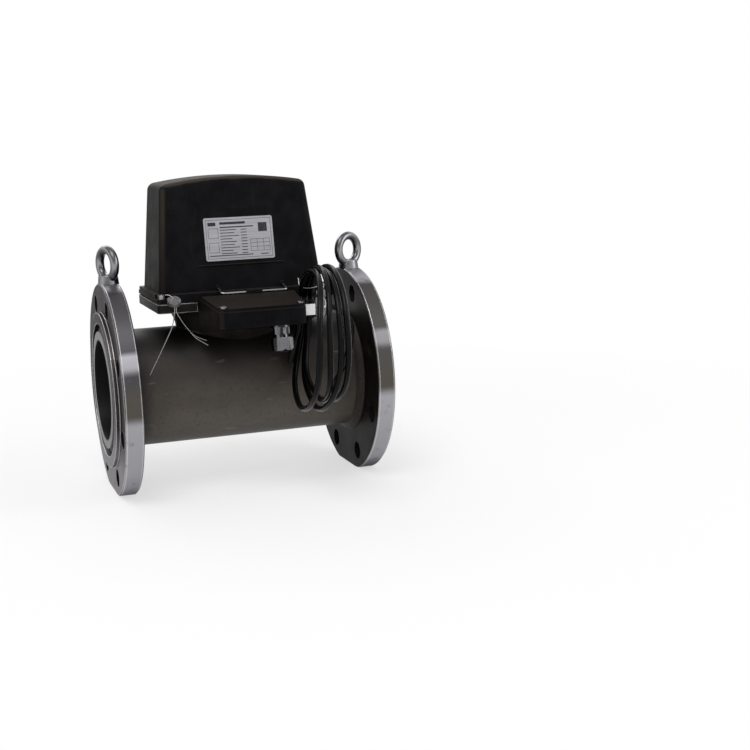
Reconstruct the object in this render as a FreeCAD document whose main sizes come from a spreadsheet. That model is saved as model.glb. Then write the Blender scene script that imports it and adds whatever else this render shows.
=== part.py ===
import FreeCAD, Part
import math
import os
import types

import Sketcher

# Ultrasonic gas meter: a flanged pipe with a hooded sensor head on top.
# X runs along the pipe, Y points away from the front of the hood, Z is up.
# The origin is on the pipe's axis, half way between the flange faces.

V = FreeCAD.Vector
UP = V(0, 0, 1)
ALONG = V(1, 0, 0)
FRONT = V(0, -1, 0)
BACK = V(0, 1, 0)

# Driving dimensions in millimetres and degrees
SIZES = {
    # flanged pipe
    "face_length": 278,
    "bore_radius": 50,
    "pipe_radius": 59,
    "rim_radius": 107.5,
    "rim_thick": 18,
    "rim_chamfer": 1.5,
    "raised_radius": 78,
    "raised_height": 4,
    "recess_radius": 67,
    "recess_depth": 6,
    "pitch_radius": 90,
    "bolt_count": 8,
    "bolt_hole_radius": 9,
    "bolt_first_angle": 22.5,
    "stand_height": 102.5,
    "weld_leg": 7,
    "weld_crest": 4.2,
    "face_weld_height": 3,
    # lifting eyes
    "eye_seat_drop": 1.6,
    "eye_seat_margin": 2,
    "eye_ring_radius": 14.5,
    "eye_ring_rise": 20,
    "eye_wire_radius": 4.3,
    "eye_collar_radius": 10.5,
    "eye_collar_top_radius": 9.5,
    "eye_collar_height": 9,
    "eye_thread_radius": 4,
    "eye_thread_depth": 13,
    "inlet_eye_turn": 69,
    "outlet_eye_turn": -29,
    # pedestal
    "tray_bottom": 79,
    "neck_waist_level": 62,
    "neck_foot_level": 40,
    "neck_top_long": 70,
    "neck_top_wide": 45,
    "neck_waist_long": 61.5,
    "neck_waist_wide": 36,
    "neck_foot_long": 64,
    "neck_foot_wide": 40,
    "neck_hole_long": 50,
    "neck_hole_wide": 19,
    # ultrasonic heads
    "head_lean": 15,
    "socket_at": 29.2,
    "socket_radius": 12,
    "socket_bore_radius": 8.1,
    "socket_below": 12,
    "socket_above": 34,
    "head_radius": 8,
    "head_recess": 5.5,
    "head_cap_radius": 11,
    "head_cap_height": 4,
    "head_boss_radius": 4,
    "head_boss_height": 5,
    "seal_groove_radius": 6.2,
    "seal_groove_width": 2.4,
    "seal_groove_level": 20,
    "seal_ring_radius": 7.15,
    "seal_section_radius": 0.9,
    "ring_nut_radius": 15.5,
    "ring_nut_skirt": 7,
    "ring_nut_top": 3,
    "ring_nut_gap": 2,
    "lead_radius": 1.3,
    "lead_straight": 8,
    # base tray
    "tray_length": 176,
    "tray_width": 110,
    "tray_top": 88,
    "tray_floor": 3,
    "tray_corner": 5,
    "tray_hollow_long": 72,
    "tray_hollow_wide": 48,
    "tray_slot_long": 56,
    "tray_slot_wide": 13.5,
    "tray_notch_half": 49.5,
    "tray_notch_depth": 4,
    "base_screw_x": 42,
    "base_screw_y": 20,
    "base_screw_radius": 3,
    "base_screw_head": 4.7,
    "base_screw_reach": 13,
    "screw_head_height": 4,
    # hood
    "gasket_thick": 1.5,
    "gasket_inset": 2,
    "gasket_hole_long": 73,
    "gasket_hole_wide": 46,
    "hood_flange_top": 97,
    "hood_foot_long": 83.5,
    "hood_foot_back": 49.5,
    "hood_foot_wide": 45,
    "hood_lean_long": 9.4,
    "hood_lean_wide": 17,
    "hood_lean_back": 1.2,
    "hood_lean_rise": 104,
    "hood_crown": 208.4,
    "hood_arch_radius": 400,
    "hood_edge_radius": 9,
    "hood_top_radius": 8,
    "hood_wall": 4,
    "hood_hollow_top": 196,
    "hood_mouth_long": 72,
    "hood_mouth_wide": 39,
    "hood_notch_x": 75.5,
    "hood_notch_y": 41.5,
    "hood_notch_level": 93,
    "hood_screw_x": 83.2,
    "hood_screw_y": 49.5,
    "hood_screw_radius": 3,
    "hood_screw_head": 4.1,
    "hood_screw_head_height": 3.9,
    "hood_screw_reach": 13,
    "hood_rib_level": 121.5,
    "hood_rib_half": 44,
    "hood_rib_radius": 0.9,
    # nameplate
    "plate_length": 70,
    "plate_height": 42.5,
    "plate_thick": 0.6,
    "plate_bottom": 125.8,
    "plate_corner": 2,
    # hinge wire of the terminal lid
    "hinge_left": -26,
    "hinge_right": 40,
    "hinge_y": -60,
    "hinge_z": 95.5,
    "hinge_root_y": -45.5,
    "hinge_root_z": 100.2,
    "hinge_wire_radius": 1.2,
    "hinge_bend": 3,
    "hinge_boss_radius": 2.4,
    "hinge_boss_reach": 3,
    "hinge_gap": 0.08,
    # terminal box and lid
    "box_front": -119,
    "box_back": -51,
    "box_front_half": 42.8,
    "box_back_half": 48.2,
    "box_front_bottom": 68.4,
    "box_back_bottom": 57.5,
    "box_front_rim": 83.8,
    "box_back_rim": 90.6,
    "box_wall": 3,
    "box_corner": 8,
    "shoulder_top": 87.8,
    "shoulder_wall": 1.2,
    "sill_front": -60.2,
    "sill_back": -55.2,
    "sill_top": 91,
    "ledge_front": -64,
    "ledge_back": -58.5,
    "ledge_bottom": 83,
    "lid_gasket_thick": 0.7,
    "lid_gap": 0.3,
    "lid_gasket_width": 2,
    "lid_gasket_inset": 0.5,
    "lid_inset": 0.5,
    "lid_back": -60.8,
    "lid_thick": 2.5,
    "lid_screw_x": 37.6,
    "lid_screw_y": -113,
    "lid_screw_radius": 2,
    "lid_screw_head": 3.5,
    "lid_screw_head_height": 2.6,
    "lid_screw_reach": 6,
    "lid_sink_radius": 4.2,
    "lid_sink_depth": 1.2,
    "lid_pillar_radius": 5.5,
    "lid_pillar_length": 15,
    "lid_pillar_hole": 3.6,
    "lid_pillar_depth": 7,
    "knuckle_left": -1.5,
    "knuckle_right": 14.5,
    "knuckle_radius": 3.3,
    "knuckle_post": 2.6,
    "box_screw_x": 30,
    "box_screw_z": 84.25,
    "box_screw_radius": 1.5,
    "box_screw_head": 2.2,
    "box_screw_head_height": 2,
    "box_screw_reach": 5.8,
    "passage_radius": 2.2,
    "block_left": -36,
    "block_right": 4,
    "block_front": -92,
    "block_back": -76,
    "block_level": 71,
    "plinth_sink": 0.15,
    "block_height": 11,
    "clamp_count": 6,
    "clamp_radius": 2,
    "clamp_height": 1.2,
    # cable glands, measured outwards from the wall that they sit in
    "lower_gland_x": 19.5,
    "lower_gland_y": -105.5,
    "lower_gland_flats": 19,
    "lower_gland_body_flats": 14.5,
    "lower_gland_hex_end": 8.5,
    "lower_gland_nut_start": 11.5,
    "lower_gland_turn": 31.7,
    "lower_gland_thread": 8,
    "lower_gland_bore": 5,
    "lower_locknut_flats": 20,
    "side_gland_y": -84,
    "side_gland_z": 78.6,
    "side_gland_flats": 19,
    "side_gland_hex_end": 13.5,
    "side_gland_nut_start": 14.5,
    "side_gland_turn": 20,
    "side_gland_thread": 6,
    "side_gland_bore": 3.5,
    "side_locknut_flats": 14.6,
    "gland_disc_thick": 2,
    "gland_disc_radius": 9.5,
    "gland_stub_radius": 7.5,
    "gland_stub_end": 18,
    "gland_seal_end": 21.5,
    "gland_nut_end": 25,
    "gland_nut_round": 3,
    "gland_nut_bevel": 1,
    "gland_mouth_radius": 5,
    "gland_tail": 8,
    "gland_locknut_thick": 4,
    "plug_radius": 4,
    "plug_proud": 0.6,
    # electronics
    "board_half_long": 62,
    "board_half_wide": 34,
    "board_level": 118,
    "board_thick": 1.6,
    "standoff_x": 57,
    "standoff_y": 29,
    "standoff_radius": 3,
    "board_screw_radius": 1.5,
    "board_screw_head": 2.7,
    "board_screw_reach": 6,
    "shield_half_long": 24,
    "shield_half_wide": 15,
    "shield_height": 8,
    "shield_wall": 0.8,
    "connector_half": 20,
    "connector_depth": 9,
    "connector_height": 10,
    "connector_y": -31,
    "harness_radius": 1.6,
    "harness_drop": 5,
    "harness_run": 7,
    "harness_turn_y": -57,
    "harness_riser": 21,
    # signal cable
    "cable_radius": 2.8,
    "core_radius": 0.8,
    "core_gap": 0.2,
    "core_straight": 10,
    "coil_y": -128,
    "coil_z": 53.8,
    "coil_outer": 71.2,
    "coil_inner": 62,
    "coil_left": 48.6,
    "coil_right": 67.6,
    "coil_front_left": 26.5,
    "coil_front_right": 61,
    "coil_fan": 14,
    "coil_top_left": 44.8,
    "coil_top_back": 20,
    "coil_low_left": 30.6,
    "coil_low_back": 36,
    "coil_low_y": -90,
    "coil_low_end_x": 42,
    "coil_low_end_y": -66,
    "coil_split_z": 56,
    "end_cap_radius": 3.2,
    "end_cap_length": 22,
    "end_cap_x": 45,
    "end_cap_y": -63.7,
    "end_cap_z": 44,
    "end_cap_tip": 2,
    "end_cap_tip_radius": 1.9,
    # lead seals and their wire
    "seal_disc_radius": 6.5,
    "seal_disc_thick": 4,
    "seal_strand_radius": 0.45,
}

doc = FreeCAD.newDocument("ultrasonic_gas_meter")
sheet = doc.addObject("Spreadsheet::Sheet", "Sizes")
for row, (alias, value) in enumerate(SIZES.items(), start=1):
    sheet.set(f"A{row}", alias)
    sheet.set(f"B{row}", str(value))
    sheet.setAlias(f"B{row}", alias)
doc.recompute()


class Dim:
    """A size: its number now, and the sheet expression that keeps it bound."""

    def __init__(self, value, text):
        self.value = float(value)
        self.text = text

    def _with(self, other, sign, value):
        return Dim(value, f"({self.text} {sign} {dim(other).text})")

    def __add__(self, other):
        return self._with(other, "+", self.value + dim(other).value)

    def __sub__(self, other):
        return self._with(other, "-", self.value - dim(other).value)

    def __mul__(self, other):
        return self._with(other, "*", self.value * dim(other).value)

    def __truediv__(self, other):
        return self._with(other, "/", self.value / dim(other).value)

    def __rmul__(self, other):
        return self * other

    def __neg__(self):
        return Dim(-self.value, f"(-{self.text})")

    def __float__(self):
        return self.value


def dim(size):
    """A Dim as it is, or a plain number as a Dim."""
    return size if isinstance(size, Dim) else Dim(size, repr(float(size)))


S = types.SimpleNamespace(**{alias: Dim(value, f"Sizes.{alias}") for alias, value in SIZES.items()})
ZERO = Dim(0, "0")
HAIR = 0.01
NODES = []


def bind(obj, **sizes):
    """Sets properties and keeps them bound to the sheet."""
    for name, size in sizes.items():
        setattr(obj, name, dim(size).value)
        obj.setExpression(name, dim(size).text)


def aim(obj, at=(0, 0, 0), way=UP, spin=0):
    """Puts an object's own Z along a direction, with its place bound to the sheet."""
    turn = FreeCAD.Rotation(UP, way).multiply(FreeCAD.Rotation(UP, float(spin)))
    obj.Placement = FreeCAD.Placement(V(*(float(size) for size in at)), turn)
    for name, size in zip("xyz", at):
        if isinstance(size, Dim):
            obj.setExpression(f"Placement.Base.{name}", size.text)
    return obj


def cylinder(radius, height, at=(0, 0, 0), way=UP):
    obj = doc.addObject("Part::Cylinder", "round")
    bind(obj, Radius=radius, Height=height)
    return aim(obj, at, way)


def cone(radius, top_radius, height, at, way=UP):
    obj = doc.addObject("Part::Cone", "taper")
    bind(obj, Radius1=radius, Radius2=top_radius, Height=height)
    return aim(obj, at, way)


def torus(radius, wire_radius, at, way=UP):
    obj = doc.addObject("Part::Torus", "ring")
    bind(obj, Radius1=radius, Radius2=wire_radius)
    return aim(obj, at, way)


def hexagon(flats, height, at, way=UP, spin=0):
    obj = doc.addObject("Part::Prism", "hexagon")
    obj.Polygon = 6
    bind(obj, Circumradius=flats / math.sqrt(3), Height=height)
    return aim(obj, at, way, spin)


def block(low, high):
    """A box from its lowest corner to its highest."""
    obj = doc.addObject("Part::Box", "block")
    low = [dim(size) for size in low]
    high = [dim(size) for size in high]
    bind(obj, Length=high[0] - low[0], Width=high[1] - low[1], Height=high[2] - low[2])
    return aim(obj, low)


def join(*parts):
    obj = doc.addObject("Part::MultiFuse", "joined")
    obj.Shapes = list(parts)
    return obj


def cut(base, *tools):
    obj = doc.addObject("Part::Cut", "cut")
    obj.Base = base
    obj.Tool = tools[0] if len(tools) == 1 else join(*tools)
    return obj


def common(first, second):
    obj = doc.addObject("Part::Common", "common")
    obj.Base = first
    obj.Tool = second
    return obj


def rounded(base, radius, choose):
    """Rounds the edges that the chooser picks, and says so if it picks none."""
    doc.recompute()
    picked = [i for i, edge in enumerate(base.Shape.Edges, start=1) if choose(edge.BoundBox)]
    if not picked:
        raise RuntimeError(f"no edge to round on {base.Label}")
    obj = doc.addObject("Part::Fillet", "rounded")
    obj.Base = base
    obj.Edges = [(i, float(radius), float(radius)) for i in picked]
    return obj


def outline(body, role, corners):
    """A closed sketch of straight edges on an origin plane, with every corner bound."""
    sketch = body.newObject("Sketcher::SketchObject", "outline")
    plane = [item for item in body.Origin.OriginFeatures if item.Role == role][0]
    sketch.AttachmentSupport = [(plane, "")]
    sketch.MapMode = "FlatFace"
    places = [V(float(u), float(v), 0) for u, v in corners]
    count = len(places)
    for i in range(count):
        sketch.addGeometry(Part.LineSegment(places[i], places[(i + 1) % count]), False)
    for i in range(count):
        sketch.addConstraint(Sketcher.Constraint("Coincident", i, 2, (i + 1) % count, 1))
    for i, corner in enumerate(corners):
        for kind, axis, size in zip(("DistanceX", "DistanceY"), (-2, -1), corner):
            if float(size) == 0:
                sketch.addConstraint(Sketcher.Constraint("PointOnObject", i, 1, axis))
                continue
            index = sketch.addConstraint(Sketcher.Constraint(kind, -1, 1, i, 1, float(size)))
            sketch.setExpression(f"Constraints[{index}]", dim(size).text)
    return sketch


def turned(profile, at=(0, 0, 0), way=UP):
    """A body turned about its own Z from a profile of (radius, level) corners."""
    body = doc.addObject("PartDesign::Body", "turned")
    feature = body.newObject("PartDesign::Revolution", "turning")
    sketch = outline(body, "XZ_Plane", profile)
    feature.Profile = sketch
    feature.ReferenceAxis = (sketch, ["V_Axis"])
    feature.Angle = 360
    body.Tip = feature
    return aim(body, at, way)


def padded(corners, role, length, at=(0, 0, 0), both_ways=False):
    """A body padded from an outline of straight edges."""
    body = doc.addObject("PartDesign::Body", "padded")
    feature = body.newObject("PartDesign::Pad", "pad")
    feature.Profile = outline(body, role, corners)
    bind(feature, Length=length)
    feature.Midplane = both_ways
    body.Tip = feature
    return aim(body, at)


def group(parts):
    """Separate solids that share one node."""
    obj = doc.addObject("Part::Compound", "group")
    obj.Links = list(parts)
    return obj


def node(name, obj):
    """Gives a finished sub-part its name."""
    obj.Label = name
    NODES.append(obj)
    return obj


def corners_of(x, y):
    """The four places mirrored in both directions."""
    return [(x, y), (-x, y), (-x, -y), (x, -y)]


def rod_along(points, radius, bend=None):
    """A round rod along straight runs joined by tangent arcs.

    Without a bend radius each arc is as large as its two runs allow."""
    points = [V(*(float(size) for size in point)) for point in points]
    starts = [points[0]]
    edges = []
    radii = []
    for before, corner, after in zip(points, points[1:], points[2:]):
        inward = (before - corner).normalize()
        outward = (after - corner).normalize()
        half_turn = (math.pi - inward.getAngle(outward)) / 2
        shorter = min((before - corner).Length, (after - corner).Length)
        arc = float(bend) if bend else 0.45 * shorter / math.tan(half_turn)
        reach = arc * math.tan(half_turn)
        middle = (inward + outward).normalize()
        crest = corner + middle * (arc / math.cos(half_turn) - arc)
        first = corner + inward * reach
        last = corner + outward * reach
        edges.append(Part.LineSegment(starts[-1], first).toShape())
        edges.append(Part.Arc(first, crest, last).toShape())
        starts.append(last)
        radii.append(round(arc, 1))
    edges.append(Part.LineSegment(starts[-1], points[-1]).toShape())
    path = Part.Wire(edges)
    ring = Part.Wire([Part.Circle(points[0], points[1] - points[0], float(radius)).toShape()])
    solid = path.makePipeShell([ring], True, True)
    return solid, path.Length, radii


def rod_node(name, paths, radius, bend=None):
    """One node of rods whose routes are too free for a sketch."""
    solids = []
    for points in paths:
        solid, length, radii = rod_along(points, radius, bend)
        share = solid.Volume / (math.pi * float(radius) ** 2 * length)
        print(f"{name}: length {length:.0f}, volume share {share:.3f}, arc radii {radii}")
        solids.append(solid)
    obj = doc.addObject("Part::Feature", "rods")
    obj.Shape = solids[0] if len(solids) == 1 else Part.makeCompound(solids)
    return node(name, obj)


# Pipe and flanges

HALF = S.face_length / 2
FLANGE_DEPTH = S.rim_thick + S.raised_height
RIM_INNER = HALF - FLANGE_DEPTH
RIM_MIDDLE = RIM_INNER + S.rim_thick / 2
EYE_SEAT = S.rim_radius - S.eye_seat_drop
lean = math.radians(float(S.head_lean))


def head_way(side):
    """The direction in which an ultrasonic head leans out of the pipe."""
    return V(side * math.sin(lean), 0, math.cos(lean))


def head_place(side, along):
    """A place on a head's axis, counted from the top of the pipe."""
    return (
        (S.socket_at + dim(along) * math.sin(lean)) * side,
        ZERO,
        S.pipe_radius + dim(along) * math.cos(lean),
    )


def socket_cut(side, radius):
    below = -(S.socket_below + S.socket_below)
    return cylinder(radius, S.socket_above + S.socket_below * 2, head_place(side, below), head_way(side))


def make_pipe():
    outside = cylinder(S.pipe_radius, S.face_length, (-HALF, 0, 0), ALONG)
    bore = cylinder(S.bore_radius, S.face_length, (-HALF, 0, 0), ALONG)
    ports = [socket_cut(side, S.socket_radius) for side in (-1, 1)]
    node("meter_pipe", cut(outside, bore, *ports))


def flange_blank():
    """The turned flange with its bolt circle, face up on its own Z."""
    body = turned([
        (S.pipe_radius, ZERO),
        (S.rim_radius - S.rim_chamfer, ZERO),
        (S.rim_radius, S.rim_chamfer),
        (S.rim_radius, S.rim_thick - S.rim_chamfer),
        (S.rim_radius - S.rim_chamfer, S.rim_thick),
        (S.raised_radius, S.rim_thick),
        (S.raised_radius, FLANGE_DEPTH),
        (S.recess_radius, FLANGE_DEPTH),
        (S.recess_radius, FLANGE_DEPTH - S.recess_depth),
        (S.pipe_radius, FLANGE_DEPTH - S.recess_depth),
    ])
    sketch = body.newObject("Sketcher::SketchObject", "bolt_hole")
    plane = [item for item in body.Origin.OriginFeatures if item.Role == "XY_Plane"][0]
    sketch.AttachmentSupport = [(plane, "")]
    sketch.MapMode = "FlatFace"
    angle = math.radians(float(S.bolt_first_angle))
    across = S.pitch_radius * math.cos(angle)
    along = S.pitch_radius * math.sin(angle)
    centre = V(float(across), float(along), 0)
    sketch.addGeometry(Part.Circle(centre, UP, float(S.bolt_hole_radius)), False)
    for kind, part, size in (("DistanceX", (-1, 1, 0, 3), across), ("DistanceY", (-1, 1, 0, 3), along),
                             ("Radius", (0,), S.bolt_hole_radius)):
        index = sketch.addConstraint(Sketcher.Constraint(kind, *part, float(size)))
        sketch.setExpression(f"Constraints[{index}]", size.text)
    doc.recompute()
    solid_before = body.Shape.Volume
    hole = body.newObject("PartDesign::Pocket", "hole")
    hole.Profile = sketch
    hole.Type = "ThroughAll"
    hole.Reversed = True
    circle = body.newObject("PartDesign::PolarPattern", "circle")
    circle.Originals = [hole]
    circle.Axis = (sketch, ["N_Axis"])
    circle.Angle = 360
    circle.Occurrences = int(float(S.bolt_count))
    body.Tip = circle
    doc.recompute()
    drilled = solid_before - body.Shape.Volume
    wanted = float(S.bolt_count * S.rim_thick) * math.pi * float(S.bolt_hole_radius) ** 2
    if abs(drilled - wanted) > 0.01 * wanted:
        raise RuntimeError("the bolt holes are not cut")
    return body


def make_flange(name, side):
    blank = aim(flange_blank(), (RIM_INNER * side, ZERO, ZERO), ALONG * side)
    floor_cut = block(
        (-HALF * 2, -S.rim_radius, -S.rim_radius * 2), (HALF * 2, S.rim_radius, -S.stand_height)
    )
    seat_radius = S.eye_collar_radius + S.eye_seat_margin
    seat = cylinder(seat_radius, S.eye_collar_height, (RIM_MIDDLE * side, 0, EYE_SEAT))
    thread = cylinder(
        S.eye_thread_radius, S.eye_thread_depth, (RIM_MIDDLE * side, 0, EYE_SEAT - S.eye_thread_depth)
    )
    node(name, cut(blank, floor_cut, seat, thread))


def make_welds():
    beads = []
    floor = FLANGE_DEPTH - S.recess_depth
    for side in (-1, 1):
        place = (RIM_INNER * side, ZERO, ZERO)
        beads.append(turned([
            (S.pipe_radius, -S.weld_leg),
                (S.pipe_radius + S.weld_crest, -S.weld_crest),
            (S.pipe_radius + S.weld_leg, ZERO),
            (S.pipe_radius, ZERO),
        ], place, ALONG * side))
        beads.append(turned([
            (S.pipe_radius, floor),
            (S.recess_radius, floor),
            (S.recess_radius, floor + S.face_weld_height / 2),
            (S.pipe_radius, floor + S.face_weld_height),
        ], place, ALONG * side))
    node("flange_welds", group(beads))


def make_eye_bolt(name, side, turn):
    x = RIM_MIDDLE * side
    angle = math.radians(float(turn))
    facing = V(math.sin(angle), math.cos(angle), 0)
    ring_place = (x, ZERO, EYE_SEAT + S.eye_ring_rise)
    ring = torus(S.eye_ring_radius, S.eye_wire_radius, ring_place, facing)
    collar = cone(
        S.eye_collar_radius, S.eye_collar_top_radius, S.eye_collar_height, (x, ZERO, EYE_SEAT)
    )
    thread = cylinder(
        S.eye_thread_radius, S.eye_thread_depth, (x, ZERO, EYE_SEAT - S.eye_thread_depth)
    )
    node(name, join(ring, collar, thread))


# Pedestal and ultrasonic heads

def oval(long, wide, level):
    obj = doc.addObject("Part::Ellipse", "oval")
    bind(obj, MajorRadius=long, MinorRadius=wide)
    return aim(obj, (ZERO, ZERO, level))


def make_pedestal():
    neck = doc.addObject("Part::Loft", "neck")
    neck.Sections = [
        oval(S.neck_top_long, S.neck_top_wide, S.tray_bottom),
        oval(S.neck_waist_long, S.neck_waist_wide, S.neck_waist_level),
        oval(S.neck_foot_long, S.neck_foot_wide, S.neck_foot_level),
    ]
    neck.Solid = True
    hole = doc.addObject("Part::Extrusion", "hole")
    hole.Base = oval(S.neck_hole_long, S.neck_hole_wide, S.neck_foot_level)
    hole.DirMode = "Custom"
    hole.Dir = UP
    hole.Solid = True
    bind(hole, LengthFwd=S.tray_bottom - S.neck_foot_level)
    pipe = cylinder(S.pipe_radius, S.face_length, (-HALF, 0, 0), ALONG)
    threads = [
        cylinder(S.base_screw_radius, S.base_screw_reach, (x, y, S.tray_bottom - S.base_screw_reach))
        for x, y in corners_of(S.base_screw_x, S.base_screw_y)
    ]
    node("pedestal", cut(neck, hole, pipe, *threads))


def make_heads():
    """The slanted sockets with the two ultrasonic heads, their seals, nuts and leads."""
    sockets = []
    seals = []
    nuts = []
    leads = []
    names = {-1: "upstream_transducer", 1: "downstream_transducer"}
    bottom = -(S.socket_below - S.head_recess)
    for side, name in names.items():
        way = head_way(side)
        start = head_place(side, ZERO)
        socket = cut(socket_cut(side, S.socket_radius), socket_cut(side, S.socket_bore_radius))
        bore = cylinder(S.bore_radius, S.face_length, (-HALF, 0, 0), ALONG)
        sockets.append(cut(socket, bore))
        top = S.socket_above
        groove = S.seal_groove_level
        node(name, turned([
            (ZERO, bottom),
            (S.head_radius, bottom),
            (S.head_radius, groove),
            (S.seal_groove_radius, groove),
            (S.seal_groove_radius, groove + S.seal_groove_width),
            (S.head_radius, groove + S.seal_groove_width),
            (S.head_radius, top),
            (S.head_cap_radius, top),
            (S.head_cap_radius, top + S.head_cap_height),
            (S.head_boss_radius, top + S.head_cap_height),
            (S.head_boss_radius, top + S.head_cap_height + S.head_boss_height),
            (ZERO, top + S.head_cap_height + S.head_boss_height),
        ], start, way))
        seal_place = head_place(side, groove + S.seal_groove_width / 2)
        seals.append(torus(S.seal_ring_radius, S.seal_section_radius, seal_place, way))
        nuts.append(turned([
            (S.socket_radius, top - S.ring_nut_skirt),
            (S.ring_nut_radius, top - S.ring_nut_skirt),
            (S.ring_nut_radius, top + S.head_cap_height + S.ring_nut_top),
            (S.head_boss_radius + S.ring_nut_gap, top + S.head_cap_height + S.ring_nut_top),
            (S.head_boss_radius + S.ring_nut_gap, top + S.head_cap_height),
            (S.socket_radius, top + S.head_cap_height),
        ], start, way))
        boss_top = top + S.head_cap_height + S.head_boss_height
        bend = head_place(side, boss_top + S.lead_straight)
        leads.append([head_place(side, boss_top), bend, (bend[0], bend[1], S.board_level)])
    node("transducer_sockets", group(sockets))
    node("transducer_seals", group(seals))
    node("transducer_nuts", group(nuts))
    rod_node("transducer_leads", leads, S.lead_radius)


# Base tray and hood

TRAY_X = S.tray_length / 2
TRAY_Y = S.tray_width / 2
FLOOR = S.tray_bottom + S.tray_floor
HOOD_BOTTOM = S.tray_top + S.gasket_thick
LEAN_X = S.hood_lean_long / S.hood_lean_rise
LEAN_Y = S.hood_lean_wide / S.hood_lean_rise
LEAN_BACK = S.hood_lean_back / S.hood_lean_rise


def upright(box):
    """True for an edge that runs straight up."""
    return box.XLength < HAIR and box.YLength < HAIR


def rounded_slab(bottom, top):
    slab = block((-TRAY_X, -TRAY_Y, bottom), (TRAY_X, TRAY_Y, top))
    return rounded(slab, S.tray_corner, upright)


def hood_screw_holes(bottom, top):
    return [
        cylinder(S.hood_screw_radius, top - bottom, (x, y, bottom))
        for x, y in corners_of(S.hood_screw_x, S.hood_screw_y)
    ]


def make_base_tray():
    slab = rounded_slab(S.tray_bottom, S.tray_top)
    hollow = block(
        (-S.tray_hollow_long, -S.tray_hollow_wide, FLOOR), (S.tray_hollow_long, S.tray_hollow_wide, S.tray_top)
    )
    slot = block(
        (-S.tray_slot_long, -S.tray_slot_wide, S.tray_bottom), (S.tray_slot_long, S.tray_slot_wide, FLOOR)
    )
    notch = block(
        (-S.tray_notch_half, -TRAY_Y, S.tray_bottom),
        (S.tray_notch_half, -TRAY_Y + S.tray_notch_depth, S.tray_top),
    )
    base_holes = [
        cylinder(S.base_screw_radius, S.tray_floor, (x, y, S.tray_bottom))
        for x, y in corners_of(S.base_screw_x, S.base_screw_y)
    ]
    box_holes = [
        cylinder(S.box_screw_radius, S.tray_notch_depth, (x, S.box_back, S.box_screw_z), BACK)
        for x in (-S.box_screw_x, S.box_screw_x)
    ]
    passage = cylinder(S.passage_radius, S.tray_notch_depth, (ZERO, S.box_back, S.box_screw_z), BACK)
    threads = hood_screw_holes(S.hood_notch_level - S.hood_screw_reach, S.tray_top)
    node("base_tray", cut(slab, hollow, slot, notch, passage, *base_holes, *box_holes, *threads))


def make_base_screws():
    screws = []
    for x, y in corners_of(S.base_screw_x, S.base_screw_y):
        shank_bottom = S.tray_bottom - S.base_screw_reach
        shank = cylinder(S.base_screw_radius, FLOOR - shank_bottom, (x, y, shank_bottom))
        head = cylinder(S.base_screw_head, S.screw_head_height, (x, y, FLOOR))
        screws.append(join(shank, head))
    node("base_screws", group(screws))


def make_hood_gasket():
    slab = block(
        (S.gasket_inset - TRAY_X, S.gasket_inset - TRAY_Y, S.tray_top),
        (TRAY_X - S.gasket_inset, TRAY_Y - S.gasket_inset, HOOD_BOTTOM),
    )
    mouth = block(
        (-S.gasket_hole_long, -S.gasket_hole_wide, S.tray_top),
        (S.gasket_hole_long, S.gasket_hole_wide, HOOD_BOTTOM),
    )
    node("hood_gasket", cut(slab, mouth, *hood_screw_holes(S.tray_top, HOOD_BOTTOM)))


def tapered(inset, bottom, top):
    """A tapered block with the hood's lean, inset from the hood's outside."""
    rise = top - bottom
    long = S.hood_foot_long - inset
    front = S.hood_foot_wide - inset
    back = S.hood_foot_back - inset
    obj = doc.addObject("Part::Wedge", "tapered")
    bind(
        obj, Xmin=-long, Xmax=long, Zmin=-back, Zmax=front, Ymin=ZERO, Ymax=rise,
        X2min=LEAN_X * rise - long, X2max=long - LEAN_X * rise,
        Z2min=LEAN_BACK * rise - back, Z2max=front - LEAN_Y * rise,
    )
    obj.Placement = FreeCAD.Placement(V(0, 0, float(bottom)), FreeCAD.Rotation(ALONG, 90))
    obj.setExpression("Placement.Base.z", bottom.text)
    return obj


def front_at(level):
    """Where the hood's front face stands at a level."""
    return -S.hood_foot_wide + LEAN_Y * (level - S.hood_flange_top)


def make_hood():
    rough = tapered(ZERO, S.hood_flange_top, S.hood_crown + S.hood_wall)
    arch_centre = S.hood_crown - S.hood_arch_radius
    arch = cylinder(S.hood_arch_radius, S.tray_width, (ZERO, -TRAY_Y, arch_centre), BACK)
    middle = float(S.hood_flange_top + S.hood_crown) / 2
    edged = rounded(
        common(rough, arch), S.hood_edge_radius, lambda box: box.ZMin < middle < box.ZMax
    )
    shell = rounded(edged, S.hood_top_radius, lambda box: box.ZMin > middle)
    flange = rounded_slab(HOOD_BOTTOM, S.hood_flange_top)
    bosses = [
        cylinder(S.hinge_boss_radius, S.hood_wall + S.hinge_boss_reach,
                 (x, front_at(S.hinge_root_z) - S.hinge_boss_reach, S.hinge_root_z), BACK)
        for x in (S.hinge_left, S.hinge_right)
    ]
    rib_y = front_at(S.hood_rib_level)
    rib = cylinder(
        S.hood_rib_radius, S.hood_rib_half * 2, (-S.hood_rib_half, rib_y, S.hood_rib_level), ALONG
    )
    hollow = tapered(S.hood_wall, S.hood_flange_top, S.hood_hollow_top)
    mouth = block(
        (-S.hood_mouth_long, -S.hood_mouth_wide, HOOD_BOTTOM),
        (S.hood_mouth_long, S.hood_mouth_wide, S.hood_flange_top),
    )
    notches = []
    for side_x in (-1, 1):
        for side_y in (-1, 1):
            xs = sorted((S.hood_notch_x * side_x, (TRAY_X + S.hood_wall) * side_x), key=float)
            ys = sorted((S.hood_notch_y * side_y, (TRAY_Y + S.hood_wall) * side_y), key=float)
            notches.append(block(
                (xs[0], ys[0], S.hood_notch_level), (xs[1], ys[1], S.hood_flange_top)
            ))
    notched = cut(flange, mouth, *notches, *hood_screw_holes(HOOD_BOTTOM, S.hood_notch_level))
    node("hood", join(notched, cut(join(shell, rib, *bosses), hollow)))


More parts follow.
